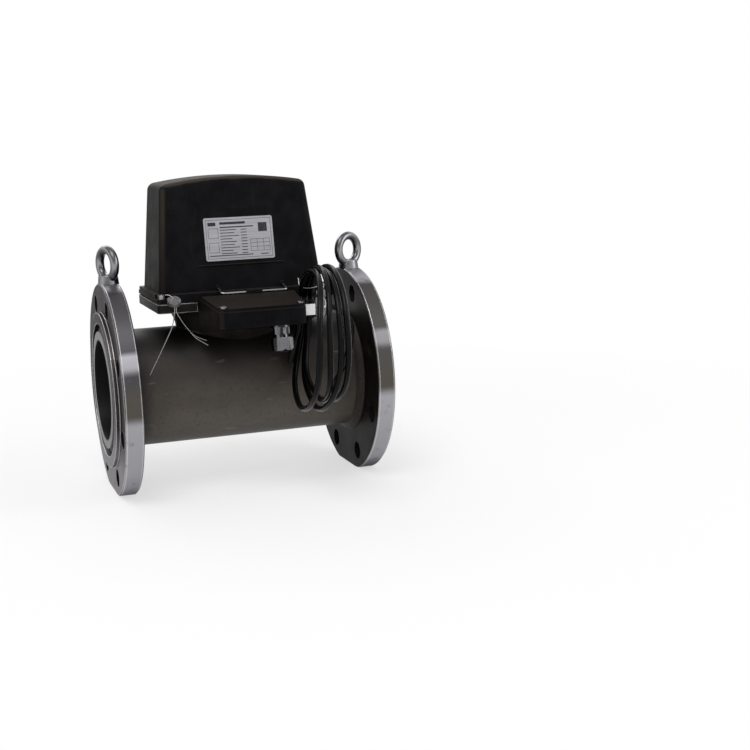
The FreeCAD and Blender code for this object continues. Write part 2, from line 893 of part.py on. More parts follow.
def make_hood_screws():
    screws = []
    for x, y in corners_of(S.hood_screw_x, S.hood_screw_y):
        bottom = S.hood_notch_level - S.hood_screw_reach
        shank = cylinder(S.hood_screw_radius, S.hood_screw_reach, (x, y, bottom))
        head = cylinder(S.hood_screw_head, S.hood_screw_head_height, (x, y, S.hood_notch_level))
        screws.append(join(shank, head))
    node("hood_screws", group(screws))


def make_nameplate():
    obj = doc.addObject("Part::Box", "plate")
    bind(obj, Length=S.plate_length, Width=S.plate_thick, Height=S.plate_height)
    lean_back = math.atan(float(LEAN_Y))
    foot_y = front_at(S.plate_bottom) - S.plate_thick * math.cos(lean_back)
    foot_z = S.plate_bottom + S.plate_thick * math.sin(lean_back)
    aim(obj, (-S.plate_length / 2, foot_y, foot_z))
    turn = FreeCAD.Rotation(ALONG, -math.degrees(lean_back))
    obj.Placement = FreeCAD.Placement(obj.Placement.Base, turn)
    thick = float(S.plate_thick)
    node("nameplate", rounded(obj, S.plate_corner, lambda box: box.DiagonalLength < thick * 1.01))


def make_hinge_wire():
    root = (S.hinge_root_y, S.hinge_root_z)
    bar = (S.hinge_y, S.hinge_z)
    rod_node("hinge_wire", [[
        (S.hinge_left, *root), (S.hinge_left, *bar), (S.hinge_right, *bar), (S.hinge_right, *root),
    ]], S.hinge_wire_radius, S.hinge_bend)


# Terminal box in front of the tray, which gets narrower and thinner towards its front

BOX_DEPTH = S.box_back - S.box_front
SIDE_SLOPE = (S.box_back_half - S.box_front_half) / BOX_DEPTH
FLOOR_SLOPE = (S.box_front_bottom - S.box_back_bottom) / BOX_DEPTH
RIM_SLOPE = (S.box_back_rim - S.box_front_rim) / (S.sill_front - S.box_front)
LID_LOW = S.lid_gasket_thick + S.lid_gap
LID_HIGH = LID_LOW + S.lid_thick
LID_WAY = V(0, -float(RIM_SLOPE), 1).normalize()
LOWER_GLAND_WAY = V(0, -float(FLOOR_SLOPE), -1).normalize()
SIDE_GLAND_WAY = V(1, -float(SIDE_SLOPE), 0).normalize()
END_CAP_WAY = V(-0.27, -0.05, -0.96).normalize()


def half_at(y):
    """Half the width of the box at a place along its depth."""
    return S.box_front_half + SIDE_SLOPE * (y - S.box_front)


def floor_at(y):
    """Level of the underside of the box."""
    return S.box_front_bottom - FLOOR_SLOPE * (y - S.box_front)


def rim_at(y):
    """Level of the rim that the lid's gasket lies on."""
    return S.box_front_rim + RIM_SLOPE * (y - S.box_front)


def off_rim(x, y, height):
    """A place at a height over the rim, measured square to the rim."""
    return (x, y + height * LID_WAY.y, rim_at(y) + height * LID_WAY.z)


def front_upright(box):
    """True for an upright edge at the front of the terminal box."""
    return upright(box) and box.YMin < float(S.box_front + S.box_wall) + HAIR


def box_shape(profile, inset, back, corner):
    """What a side view in (y, z) leaves of the box's outline, inset and ended at a line at the back."""
    front = S.box_front + inset
    near = half_at(front) - inset
    far = half_at(back) - inset
    plan = padded([(-near, front), (near, front), (far, back), (-far, back)], "XY_Plane", S.hood_flange_top)
    side = padded(profile, "YZ_Plane", S.box_back_half * 2, both_ways=True)
    return common(side, rounded(plan, corner, front_upright))


def over_rim(inset, back, low, high):
    """A slab that lies along the rim, between two heights over it."""
    front = S.box_front + inset
    return box_shape([
        (front, rim_at(front) + low),
        (back, rim_at(back) + low),
        (back, rim_at(back) + high),
        (front, rim_at(front) + high),
    ], inset, back, S.box_corner - inset)


def box_hollow():
    """The room inside the terminal box."""
    front = S.box_front + S.box_wall
    back = S.box_back - S.box_wall
    roof = S.shoulder_top - S.shoulder_wall
    return box_shape([
        (front, floor_at(front) + S.box_wall),
        (back, floor_at(back) + S.box_wall),
        (back, roof),
        (S.ledge_back, roof),
        (S.ledge_back, S.ledge_bottom),
        (S.ledge_front, S.ledge_bottom),
        (S.ledge_front, S.sill_top),
        (front, S.sill_top),
    ], S.box_wall, back, S.box_corner - S.box_wall)


def box_walls():
    """The open box with its sill, ledge and the plinth of the terminal block."""
    shell = box_shape([
        (S.box_front, S.box_front_bottom),
        (S.box_back, S.box_back_bottom),
        (S.box_back, S.shoulder_top),
        (S.sill_back, S.shoulder_top),
        (S.sill_back, S.sill_top),
        (S.sill_front, S.sill_top),
        (S.sill_front, S.box_back_rim),
        (S.box_front, S.box_front_rim),
    ], ZERO, S.box_back, S.box_corner)
    plinth = block(
        (S.block_left, S.block_front, floor_at(S.block_back) + S.box_wall - S.plinth_sink),
        (S.block_right, S.block_back, S.block_level),
    )
    return join(cut(shell, box_hollow()), plinth)


def place_along(start, way, along):
    """A place on an axis, counted from where it starts."""
    return tuple(dim(size) + dim(along) * part for size, part in zip(start, way))


LOWER_GLAND = (S.lower_gland_x, S.lower_gland_y, floor_at(S.lower_gland_y))
SIDE_GLAND = (half_at(S.side_gland_y), S.side_gland_y, S.side_gland_z)


def make_terminal_box():
    box_holes = [
        cylinder(S.box_screw_radius, S.box_wall, (x, S.box_back, S.box_screw_z), FRONT)
        for x in (-S.box_screw_x, S.box_screw_x)
    ]
    passage = cylinder(
        S.passage_radius, S.box_back - S.ledge_front, (ZERO, S.box_back, S.box_screw_z), FRONT
    )
    gland_holes = [
        cylinder(thread, S.box_wall, place_along(wall, way, -S.box_wall), way)
        for thread, wall, way in (
            (S.lower_gland_thread, LOWER_GLAND, LOWER_GLAND_WAY),
            (S.side_gland_thread, SIDE_GLAND, SIDE_GLAND_WAY),
        )
    ]
    node("terminal_box", cut(box_walls(), passage, *gland_holes, *box_holes))


def make_lid_pillars():
    """Posts in the front corners of the box that the lid's screws go into."""
    pillars = []
    for x in (-S.lid_screw_x, S.lid_screw_x):
        foot = off_rim(x, S.lid_screw_y, -S.lid_pillar_length)
        post = cylinder(S.lid_pillar_radius, S.lid_pillar_length, foot, LID_WAY)
        well_floor = off_rim(x, S.lid_screw_y, -S.lid_pillar_depth)
        well = cylinder(S.lid_pillar_hole, S.lid_pillar_depth, well_floor, LID_WAY)
        pillars.append(cut(common(post, box_hollow()), well))
    node("lid_pillars", group(pillars))


def make_box_screws():
    screws = []
    for x in (-S.box_screw_x, S.box_screw_x):
        seat = S.box_back - S.box_wall
        head_start = seat - S.box_screw_head_height
        head = cylinder(S.box_screw_head, S.box_screw_head_height, (x, head_start, S.box_screw_z), BACK)
        shank = cylinder(S.box_screw_radius, S.box_screw_reach, (x, seat, S.box_screw_z), BACK)
        screws.append(join(head, shank))
    node("box_screws", group(screws))


def make_lid_gasket():
    edge = S.lid_gasket_inset
    inner = edge + S.lid_gasket_width
    outside = over_rim(edge, S.lid_back - edge, ZERO, S.lid_gasket_thick)
    node("lid_gasket", cut(outside, over_rim(inner, S.lid_back - inner, ZERO, S.lid_gasket_thick)))


def make_terminal_lid():
    plate = over_rim(S.lid_inset, S.lid_back, LID_LOW, LID_HIGH)
    plate_top = rim_at(S.lid_back) + LID_HIGH
    post = block(
        (S.knuckle_left, S.lid_back - S.knuckle_post, plate_top - S.lid_thick / 2),
        (S.knuckle_right, S.lid_back, S.hinge_z),
    )
    knuckle_length = S.knuckle_right - S.knuckle_left
    knuckle_start = (S.knuckle_left, S.hinge_y, S.hinge_z)
    knuckle = cylinder(S.knuckle_radius, knuckle_length, knuckle_start, ALONG)
    eye = cylinder(S.hinge_wire_radius + S.hinge_gap, knuckle_length, knuckle_start, ALONG)
    seat = LID_HIGH - S.lid_sink_depth
    holes = []
    for x in (-S.lid_screw_x, S.lid_screw_x):
        holes.append(cylinder(S.lid_screw_radius, LID_HIGH, off_rim(x, S.lid_screw_y, ZERO), LID_WAY))
        holes.append(cylinder(S.lid_sink_radius, LID_HIGH, off_rim(x, S.lid_screw_y, seat), LID_WAY))
    node("terminal_lid", cut(join(plate, post, knuckle), eye, *holes))


def make_lid_screws():
    screws = []
    seat = LID_HIGH - S.lid_sink_depth
    for x in (-S.lid_screw_x, S.lid_screw_x):
        head_place = off_rim(x, S.lid_screw_y, seat)
        tip_place = off_rim(x, S.lid_screw_y, seat - S.lid_screw_reach)
        head = cylinder(S.lid_screw_head, S.lid_screw_head_height, head_place, LID_WAY)
        shank = cylinder(S.lid_screw_radius, S.lid_screw_reach, tip_place, LID_WAY)
        screws.append(join(head, shank))
    node("lid_screws", group(screws))


def make_terminal_block():
    top = S.block_level + S.block_height
    low = (S.block_left, S.block_front, S.block_level)
    node("terminal_block", block(low, (S.block_right, S.block_back, top)))
    count = int(float(S.clamp_count))
    step = (S.block_right - S.block_left) / count
    clamps = [
        cylinder(
            S.clamp_radius, S.clamp_height,
            (S.block_left + step * (i + 0.5), (S.block_front + S.block_back) / 2, top),
        )
        for i in range(count)
    ]
    node("terminal_clamps", group(clamps))


# Cable glands

# A hexagon turned by this angle has a flat where it had a corner
HALF_FLAT = 30


def make_gland_body(name, wall, way, flats, hex_end, thread, bore_radius, turn):
    """The part of a gland that is screwed into the wall."""
    disc = cylinder(S.gland_disc_radius, S.gland_disc_thick, place_along(wall, way, ZERO), way)
    hex_start = place_along(wall, way, S.gland_disc_thick)
    body_hex = hexagon(flats, hex_end - S.gland_disc_thick, hex_start, way, turn)
    tail_start = place_along(wall, way, -S.gland_tail)
    tail = cylinder(thread, S.gland_tail, tail_start, way)
    stub = cylinder(S.gland_stub_radius, S.gland_stub_end - hex_end, place_along(wall, way, hex_end), way)
    bore = cylinder(bore_radius, S.gland_stub_end + S.gland_tail, tail_start, way)
    node(name, cut(join(disc, body_hex, tail, stub), bore))


def make_gland_nut(name, wall, way, flats, start, turn):
    """The outer nut of a gland, with softened ends."""
    corner = flats / math.sqrt(3)
    place = place_along(wall, way, start)
    length = S.gland_nut_end - start
    prism = hexagon(flats, length, place, way, turn)
    dome = turned([
        (ZERO, start),
        (corner - S.gland_nut_bevel, start),
        (corner, start + S.gland_nut_bevel),
        (corner, S.gland_nut_end - S.gland_nut_round),
        (corner - S.gland_nut_round / 4, S.gland_nut_end - S.gland_nut_round / 2),
        (corner - S.gland_nut_round * 3 / 4, S.gland_nut_end),
        (ZERO, S.gland_nut_end),
    ], wall, way)
    chamber = cylinder(S.gland_stub_radius, S.gland_seal_end - start, place, way)
    mouth = cylinder(S.gland_mouth_radius, length, place, way)
    node(name, cut(common(prism, dome), chamber, mouth))


def make_gland_seal(name, wall, way, hole_radius):
    """The rubber ring that the outer nut presses on the cable or plug."""
    start = place_along(wall, way, S.gland_stub_end)
    length = S.gland_seal_end - S.gland_stub_end
    ring = cylinder(S.gland_stub_radius, length, start, way)
    node(name, cut(ring, cylinder(hole_radius, length, start, way)))


def make_locknut(name, wall, way, flats, thread, turn):
    """The nut that holds a gland from inside the box."""
    start = place_along(wall, way, -(S.box_wall + S.gland_locknut_thick))
    outside = hexagon(flats, S.gland_locknut_thick, start, way, turn)
    node(name, cut(outside, cylinder(thread, S.gland_locknut_thick, start, way)))


def make_lower_gland():
    lower = (LOWER_GLAND, LOWER_GLAND_WAY)
    make_gland_body(
        "lower_gland_body", *lower, S.lower_gland_body_flats, S.lower_gland_hex_end,
        S.lower_gland_thread, S.lower_gland_bore, S.lower_gland_turn,
    )
    make_gland_nut(
        "lower_gland_nut", *lower, S.lower_gland_flats, S.lower_gland_nut_start, S.lower_gland_turn
    )
    make_gland_seal("lower_gland_seal", *lower, S.plug_radius)
    make_locknut("lower_gland_locknut", *lower, S.lower_locknut_flats, S.lower_gland_thread, ZERO)
    node("lower_gland_plug", turned([
        (ZERO, S.lower_gland_nut_start),
        (S.plug_radius, S.lower_gland_nut_start),
        (S.plug_radius, S.gland_seal_end),
        (S.gland_mouth_radius, S.gland_seal_end),
        (S.gland_mouth_radius, S.gland_nut_end + S.plug_proud),
        (ZERO, S.gland_nut_end + S.plug_proud),
    ], *lower))


def make_side_gland():
    side = (SIDE_GLAND, SIDE_GLAND_WAY)
    make_gland_body(
        "side_gland_body", *side, S.side_gland_flats, S.side_gland_hex_end, S.side_gland_thread,
        S.side_gland_bore, ZERO,
    )
    make_gland_nut(
        "side_gland_nut", *side, S.side_gland_flats, S.side_gland_nut_start, S.side_gland_turn
    )
    make_gland_seal("side_gland_seal", *side, S.cable_radius)
    make_locknut("side_gland_locknut", *side, S.side_locknut_flats, S.side_gland_thread, HALF_FLAT)


# Electronics under the hood

def make_electronics():
    board_top = S.board_level + S.board_thick
    low = (-S.board_half_long, -S.board_half_wide, S.board_level)
    high = (S.board_half_long, S.board_half_wide, board_top)
    places = corners_of(S.standoff_x, S.standoff_y)
    holes = [cylinder(S.board_screw_radius, S.board_thick, (x, y, S.board_level)) for x, y in places]
    node("circuit_board", cut(block(low, high), *holes))

    standoffs = []
    screws = []
    for x, y in places:
        thread_bottom = S.board_level - S.board_screw_reach
        post = cylinder(S.standoff_radius, S.board_level - FLOOR, (x, y, FLOOR))
        thread = cylinder(S.board_screw_radius, S.board_screw_reach, (x, y, thread_bottom))
        standoffs.append(cut(post, thread))
        shank = cylinder(S.board_screw_radius, board_top - thread_bottom, (x, y, thread_bottom))
        head = cylinder(S.board_screw_head, S.board_screw_radius, (x, y, board_top))
        screws.append(join(shank, head))
    node("board_standoffs", group(standoffs))
    node("board_screws", group(screws))

    can = block(
        (-S.shield_half_long, -S.shield_half_wide, board_top),
        (S.shield_half_long, S.shield_half_wide, board_top + S.shield_height),
    )
    inside = block(
        (S.shield_wall - S.shield_half_long, S.shield_wall - S.shield_half_wide, board_top),
        (S.shield_half_long - S.shield_wall, S.shield_half_wide - S.shield_wall,
         board_top + S.shield_height - S.shield_wall),
    )
    node("board_shield", cut(can, inside))
    node("board_connector", block(
        (-S.connector_half, S.connector_y, board_top),
        (S.connector_half, S.connector_y + S.connector_depth, board_top + S.connector_height),
    ))
    level = S.box_screw_z
    block_side = level - S.harness_drop
    riser = S.box_back + S.harness_riser
    rod_node("board_harness", [[
        (ZERO, S.block_back, block_side),
        (ZERO, S.block_back + S.harness_run, block_side),
        (ZERO, S.harness_turn_y, level),
        (ZERO, S.box_back + S.harness_run, level),
        (ZERO, riser - S.harness_run / 2, level + S.harness_run),
        (ZERO, riser, level + S.harness_run * 3),
        (ZERO, riser, S.board_level),
    ]], S.harness_radius)


# Signal cable, its coil and the lead seals

# Route of the cable from the straight run out of the side gland to the bottom of the coil
LEAD_ROUTE = [
    (91.5, -86.3, 71.6), (98.4, -84.6, 59.5), (98.9, -81.7, 43.3), (93.5, -82, 26), (83, -89, 9.5),
    (71.5, -100, -3.5), (63, -113, -10.5), (58.4, -127, -13.2),
]
LEAD_STRAIGHT = 15.9

# Cores of the cable inside the gland, across and above its axis
CORE_PLACES = [(0, 1.2), (1.04, -0.6), (-1.04, -0.6)]
CORE_ENDS = 4

SEAL_TILT = V(0, -0.55, 0.83)
LEFT_SEAL_PLACE = (-74, -61.6, 89.6)
RIGHT_SEAL_PLACE = (76, -61.6, 86.5)

# Hand-bent wire: from the screw to the lead seal, then the loose tails
LEFT_SEAL_ROUTES = [
    [(-82, -52.6, 95.6), (-80.5, -57.5, 98), (-76.5, -59.5, 97.2), (-74.6, -62, 94)],
    [(-74, -66.2, 88.2), (-74.6, -65.6, 81), (-77.5, -66, 67.4), (-89.6, -69, 46.4), (-103.2, -72, 23.7)],
    [(-72.6, -66.4, 88), (-73, -66, 81), (-64.8, -66, 66.8), (-56.3, -66, 56.6), (-44.6, -64, 51.4)],
    [(-61, -67, 61.6), (-55.4, -67.2, 54.6), (-43.8, -67, 47)],
]

# The same on the right, where the wire goes on round the cable's turns
TIE_WIRE_ROUTES = [
    [(82, -52.6, 95.6), (80.5, -57.5, 98), (78, -60.6, 96), (76.6, -61.6, 91)],
    [(75, -66.4, 87), (73, -70, 95), (69.6, -80, 99.5), (64, -87.5, 99), (54, -87.5, 98),
     (48.2, -83, 98.6), (47.9, -76, 100.5), (48.6, -73, 107)],
    [(48.2, -80, 98.8), (47.8, -76, 97.4), (47.8, -74, 95.8)],
]


def make_cable():
    inlet = place_along(SIDE_GLAND, SIDE_GLAND_WAY, S.gland_stub_end)
    outlet = place_along(SIDE_GLAND, SIDE_GLAND_WAY, S.gland_stub_end + LEAD_STRAIGHT)
    rod_node("cable_lead", [[inlet, outlet, *LEAD_ROUTE]], S.cable_radius)

    block_middle = S.block_level + S.block_height / 2
    core_start = place_along(SIDE_GLAND, SIDE_GLAND_WAY, S.gland_stub_end - S.core_gap)
    inside = place_along(SIDE_GLAND, SIDE_GLAND_WAY, -S.core_straight)
    cores = []
    for core, (across, above) in enumerate(CORE_PLACES):
        end_y = S.block_front + (core + 1) * (S.block_back - S.block_front) / CORE_ENDS
        cores.append([
            *((x, y + across, z + above) for x, y, z in (core_start, inside)),
            (S.block_right + S.core_straight, end_y, block_middle),
            (S.block_right, end_y, block_middle),
        ])
    rod_node("cable_cores", cores, S.core_radius)

    # The turns hang in a ring over the side gland and fan out to the left, in front of the box
    # and below it, so that the terminal lid can swing up beside them.
    width = S.coil_right - S.coil_front_left
    ring_start = (S.coil_front_left, S.coil_y, S.coil_z)
    ring = cut(
        cylinder(S.coil_outer, width, ring_start, ALONG), cylinder(S.coil_inner, width, ring_start, ALONG)
    )
    back = S.coil_y + S.coil_outer
    front = S.coil_y - S.coil_outer
    right_side = [(S.coil_right, back), (S.coil_right, S.coil_y), (S.coil_front_right, front)]
    front_side = [(S.coil_front_left, front), (S.coil_front_left, front + S.coil_fan)]
    upper = padded([
        (S.coil_left, back),
        *right_side,
        *front_side,
        (S.coil_top_left, S.coil_y),
        (S.coil_left, S.coil_y + S.coil_top_back),
    ], "XY_Plane", S.coil_outer, (ZERO, ZERO, S.coil_split_z))
    lower = padded([
        (S.coil_left, back),
        *right_side,
        *front_side,
        (S.coil_low_left, S.coil_y),
        (S.coil_low_back, S.coil_low_y),
        (S.coil_low_end_x, S.coil_low_end_y),
    ], "XY_Plane", S.coil_outer * 2, (ZERO, ZERO, S.coil_split_z - S.coil_outer * 2))
    node("cable_coil", common(ring, join(upper, lower)))

    cap_top = (S.end_cap_x, S.end_cap_y, S.end_cap_z)
    cap_bottom = place_along(cap_top, END_CAP_WAY, S.end_cap_length)
    node("cable_end_cap", join(
        cylinder(S.end_cap_radius, S.end_cap_length, cap_top, END_CAP_WAY),
        cone(S.end_cap_radius, S.end_cap_tip_radius, S.end_cap_tip, cap_bottom, END_CAP_WAY),
    ))


def make_seals():
    node("left_lead_seal", cylinder(S.seal_disc_radius, S.seal_disc_thick, LEFT_SEAL_PLACE, SEAL_TILT))
    node("right_lead_seal", cylinder(S.seal_disc_radius, S.seal_disc_thick, RIGHT_SEAL_PLACE, SEAL_TILT))
    rod_node("left_seal_wire", LEFT_SEAL_ROUTES, S.seal_strand_radius)
    rod_node("coil_tie_wire", TIE_WIRE_ROUTES, S.seal_strand_radius)


def export():
    """Checks every object and sub-part, then writes one file for each node."""
    doc.recompute()
    faults = [obj.Label for obj in doc.Objects if "Invalid" in obj.State or "Error" in obj.State]
    if faults:
        raise RuntimeError(f"failed objects: {faults}")
    for obj in NODES:
        shape = obj.Shape
        if shape.isNull() or not shape.isValid() or not shape.Solids:
            raise RuntimeError(f"{obj.Label} has no valid solid")
    os.makedirs("parts", exist_ok=True)
    for obj in NODES:
        obj.Shape.exportStep(os.path.join("parts", f"{obj.Label}.step"))
        print(f"{obj.Label}: {len(obj.Shape.Solids)} solid(s), {obj.Shape.Volume / 1000:.1f} cm3")


make_pipe()
make_flange("inlet_flange", -1)
make_flange("outlet_flange", 1)
make_welds()
make_eye_bolt("inlet_eye_bolt", -1, S.inlet_eye_turn)
make_eye_bolt("outlet_eye_bolt", 1, S.outlet_eye_turn)
make_pedestal()
make_heads()
make_base_tray()
make_base_screws()
make_hood_gasket()
make_hood()
make_hood_screws()
make_nameplate()
make_hinge_wire()
make_terminal_box()
make_lid_pillars()
make_box_screws()
make_lid_gasket()
make_terminal_lid()
make_lid_screws()
make_terminal_block()
make_lower_gland()
make_side_gland()
make_electronics()
make_cable()
make_seals()
export()
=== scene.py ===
import math

import bpy
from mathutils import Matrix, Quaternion, Vector


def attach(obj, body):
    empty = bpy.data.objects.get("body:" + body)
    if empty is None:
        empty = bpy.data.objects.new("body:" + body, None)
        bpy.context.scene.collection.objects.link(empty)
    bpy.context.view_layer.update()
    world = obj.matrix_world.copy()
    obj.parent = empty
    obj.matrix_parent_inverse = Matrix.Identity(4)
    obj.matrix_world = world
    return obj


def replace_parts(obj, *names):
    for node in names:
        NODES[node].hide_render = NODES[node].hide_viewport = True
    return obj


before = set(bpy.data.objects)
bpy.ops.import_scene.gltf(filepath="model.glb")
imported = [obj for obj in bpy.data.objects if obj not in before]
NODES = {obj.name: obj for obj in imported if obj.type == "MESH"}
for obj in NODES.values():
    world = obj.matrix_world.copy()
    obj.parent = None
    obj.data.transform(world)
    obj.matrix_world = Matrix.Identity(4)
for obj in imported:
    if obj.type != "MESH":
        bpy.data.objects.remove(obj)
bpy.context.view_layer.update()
METER = "meter"
LID = "lid"
MM = 0.001

# Camera and room, in metres, with the lens and its sensor in millimetres
CAMERA_PLACE = (-0.31792, -1.30726, 0.24070)
CAMERA_TARGET = (0.14796, -0.01091, -0.00917)
CAMERA_LENS = 62.76
CAMERA_ROLL = math.radians(1.846)
SENSOR_WIDTH = 36
FLOOR_LEVEL = -0.1025
FLOOR_HALF = 6
LAMP_TARGET = (0, 0, 0.05)
SURROUND_LIGHT = 0.45
ROOM_LIGHT_WAY = (-0.2, -0.75, 0.63)

# Places on the pipe and its flanges, in millimetres
BOLT_CIRCLE = 90
BOLT_COUNT = 8
BOLT_HOLE_EDGE = (9.4, 9.1)
BORE_EDGE = 51.25
FLANGE_BACK = 117.4
BARE_END = 131.65
RIM_FACE = 134.7

# Where a painted shadow or shade, a wear or a dusting with painted light starts and where it is full, in
# millimetres along the pipe or above its axis
INLET_SHADOW = (-95, -112)
INLET_WELD_SHADOW = (0, -100)
OUTLET_RIM_SHADE = (5, 40)
WEAR_INTO_SHADE = (-35, -75)
TOP_DUST_AND_LIGHT = (110, 180)

# The painted reflection on the rims lies a little higher at the outlet, and the painted highlight on their
# top reaches further down there
REFLECTION_BAND_TILT = -0.2
HIGHLIGHT_CREST_TILT = 0.25


# Helpers for node trees

NOISE = "ShaderNodeTexNoise"
MAPPING = "ShaderNodeMapping"
RANGE = "ShaderNodeMapRange"
MIX = "ShaderNodeMix"
MATH = "ShaderNodeMath"
VECTOR = "ShaderNodeVectorMath"
SPLIT = "ShaderNodeSeparateXYZ"
COMBINE = "ShaderNodeCombineXYZ"
COORDINATES = "ShaderNodeTexCoord"


def colour(code):
    """A linear colour from an sRGB hex value; a colour from another node stays as it is."""
    if not isinstance(code, str):
        return code
    channels = [int(code[i:i + 2], 16) / 255 for i in (1, 3, 5)]
    linear = [c / 12.92 if c <= 0.04045 else ((c + 0.055) / 1.055) ** 2.4 for c in channels]
    return (*linear, 1.0)


def metres(sizes):
    """Sizes in millimetres as metres."""
    return [size * MM for size in sizes]


def step_at(place, half=0.2):
    """The limits of a short change at a place in millimetres."""
    return metres((place - half, place + half))


def per_mm(size):
    """Texture scale for a detail of this size in millimetres."""
    return 1 / (size * MM)


def add(tree, kind, inputs=None, **settings):
    """Adds a node and returns its outputs. Each input gets a value, another node's output or a list."""
    node = tree.nodes.new(kind)
    for name, value in settings.items():
        setattr(node, name, value)
    for socket, source in (inputs or {}).items():
        for item in source if isinstance(source, list) else [source]:
            if isinstance(item, bpy.types.NodeSocket):
                tree.links.new(item, node.inputs[socket])
            else:
                node.inputs[socket].default_value = item
    return node.outputs


def new_material(name, **sockets):
    """A material with one Principled shader, its node tree and its object coordinates."""
    material = bpy.data.materials.new(name)
    material.use_nodes = True
    tree = material.node_tree
    shader = tree.nodes["Principled BSDF"].inputs
    for socket, value in sockets.items():
        shader[socket.replace("_", " ")].default_value = value
    return material, tree, shader, add(tree, COORDINATES)["Object"]


def patches(tree, place, size, detail=3, stretch=(1, 1, 1)):
    """Patches of about this size in millimetres, drawn out where a scale is below 1."""
    drawn = add(tree, MAPPING, {"Vector": place, "Scale": stretch})["Vector"]
    return add(tree, NOISE, {"Vector": drawn, "Scale": per_mm(size), "Detail": detail})["Fac"]


def overlay(tree, under, over, value, low, high, most=1.0):
    """Lays one colour over another as a value goes from low to high."""
    share = add(
        tree, RANGE, {"Value": value, "From Min": low, "From Max": high, "To Max": most},
        interpolation_type="SMOOTHSTEP",
    )["Result"]
    return add(tree, MIX, {"Factor": share, 6: colour(under), 7: colour(over)}, data_type="RGBA")[2]


def banded(tree, value, stops):
    """A colour that goes from each stop's shade to the next one's, over their levels."""
    shade = stops[0][1]
    for (level, _), (next_level, next_shade) in zip(stops, stops[1:]):
        shade = overlay(tree, shade, next_shade, value, level, next_level)
    return shade


def vary(tree, socket, value, start, end):
    """Runs a shader's socket from start to end over the patches of a value."""
    limits = {"Value": value, "From Min": 0.3, "From Max": 0.7, "To Min": start, "To Max": end}
    tree.links.new(add(tree, RANGE, limits)["Result"], socket)


def worn_edges(tree, radius):
    """From 0 on flat stretches up to about 0.3 on sharp edges within a radius in millimetres."""
    round_normal = add(tree, "ShaderNodeBevel", {"Radius": radius * MM}, samples=4)["Normal"]
    flat_normal = add(tree, "ShaderNodeNewGeometry")["Normal"]
    match = add(tree, VECTOR, {0: round_normal, 1: flat_normal}, operation="DOT_PRODUCT")["Value"]
    return add(tree, MATH, {0: 1.0, 1: match}, operation="SUBTRACT")["Value"]


def relief(tree, shader, height, strength, depth, edge=0.5):
    """Surface relief of a depth in millimetres, over edges that are rounded by a small radius."""
    round_normal = add(tree, "ShaderNodeBevel", {"Radius": edge * MM}, samples=4)["Normal"]
    links = {"Height": height, "Strength": strength, "Distance": depth * MM, "Normal": round_normal}
    tree.links.new(add(tree, "ShaderNodeBump", links)["Normal"], shader["Normal"])


def round_the_pipe(tree, place):
    """A place's coordinates, its distances from the pipe's middle and axis, and its share of height."""
    split = add(tree, SPLIT, {"Vector": place})
    depth = add(tree, MATH, {0: split["X"]}, operation="ABSOLUTE")["Value"]
    across = add(tree, COMBINE, {"Y": split["Y"], "Z": split["Z"]})["Vector"]
    radius = add(tree, VECTOR, {0: across}, operation="LENGTH")["Value"]
    height = add(tree, MATH, {0: split["Z"], 1: radius}, operation="DIVIDE")["Value"]
    return split, depth, radius, height


# Finishes of the meter

def pipe_enamel():
    """Grey-brown enamel brushed on steel: soft gloss, blotches and pale rubs.

    It is darker on top as painted shade and lighter below its middle as painted light, darker by the inlet
    as painted shadow, and the steel is bare at the pipe's ends."""
    material, tree, shader, place = new_material("pipe_enamel", IOR=1.5, Specular_IOR_Level=0.2)
    split, depth, radius, height = round_the_pipe(tree, place)
    blotch = patches(tree, place, 40, 6)
    light_and_shade_level = add(tree, MATH, {0: blotch, 1: 0.5, 2: height}, operation="MULTIPLY_ADD")["Value"]
    # Painted light and shade: the enamel is darker towards the top, where the meter's head shades it, and
    # lighter below the middle
    coat = banded(tree, light_and_shade_level, [
        (-0.75, "#36322e"), (-0.35, "#59534c"), (0.15, "#49433d"), (0.6, "#38332f"), (1.1, "#1a1716"),
    ])
    speckle = overlay(tree, coat, "#2b2724", patches(tree, place, 4, 4), 0.5, 0.75, 0.35)
    rub = patches(tree, place, 8, 8, (0.25, 1, 1))
    rubbed = overlay(tree, speckle, "#857f77", rub, 0.65, 0.76, 0.4)
    # Painted shadow of the inlet flange on the pipe
    painted_inlet_shadow = overlay(tree, rubbed, "#191716", split["X"], *metres(INLET_SHADOW), 0.75)
    bare = overlay(tree, painted_inlet_shadow, "#737172", depth, *step_at(BARE_END, 0.25))
    # Near black inside the bore
    dark_bore = overlay(tree, "#101011", bare, radius, *step_at(BORE_EDGE, 0.25))
    tree.links.new(dark_bore, shader["Base Color"])
    vary(tree, shader["Roughness"], blotch, 0.4, 0.52)
    relief(tree, shader, patches(tree, place, 2.5), 0.3, 0.25)
    return material


def from_bolt_hole(tree, split, radius):
    """Distance from the nearest bolt hole's axis. Each hole's share of the flange is turned to one place."""
    share = math.tau / BOLT_COUNT
    angle = add(tree, MATH, {0: split["Z"], 1: split["Y"]}, operation="ARCTAN2")["Value"]
    wrapped = add(tree, MATH, {0: angle, 1: share}, operation="FLOORED_MODULO")["Value"]
    turn = add(tree, MATH, {0: wrapped, 1: share / 2}, operation="SUBTRACT")["Value"]
    near = add(tree, MATH, {0: turn}, operation="COSINE")["Value"]
    aside = add(tree, MATH, {0: turn}, operation="SINE")["Value"]
    way = add(tree, COMBINE, {"X": near, "Y": aside})["Vector"]
    spot = add(tree, VECTOR, {0: way, "Scale": radius}, operation="SCALE")["Vector"]
    return add(tree, VECTOR, {0: spot, 1: (BOLT_CIRCLE * MM, 0, 0)}, operation="DISTANCE")["Value"]


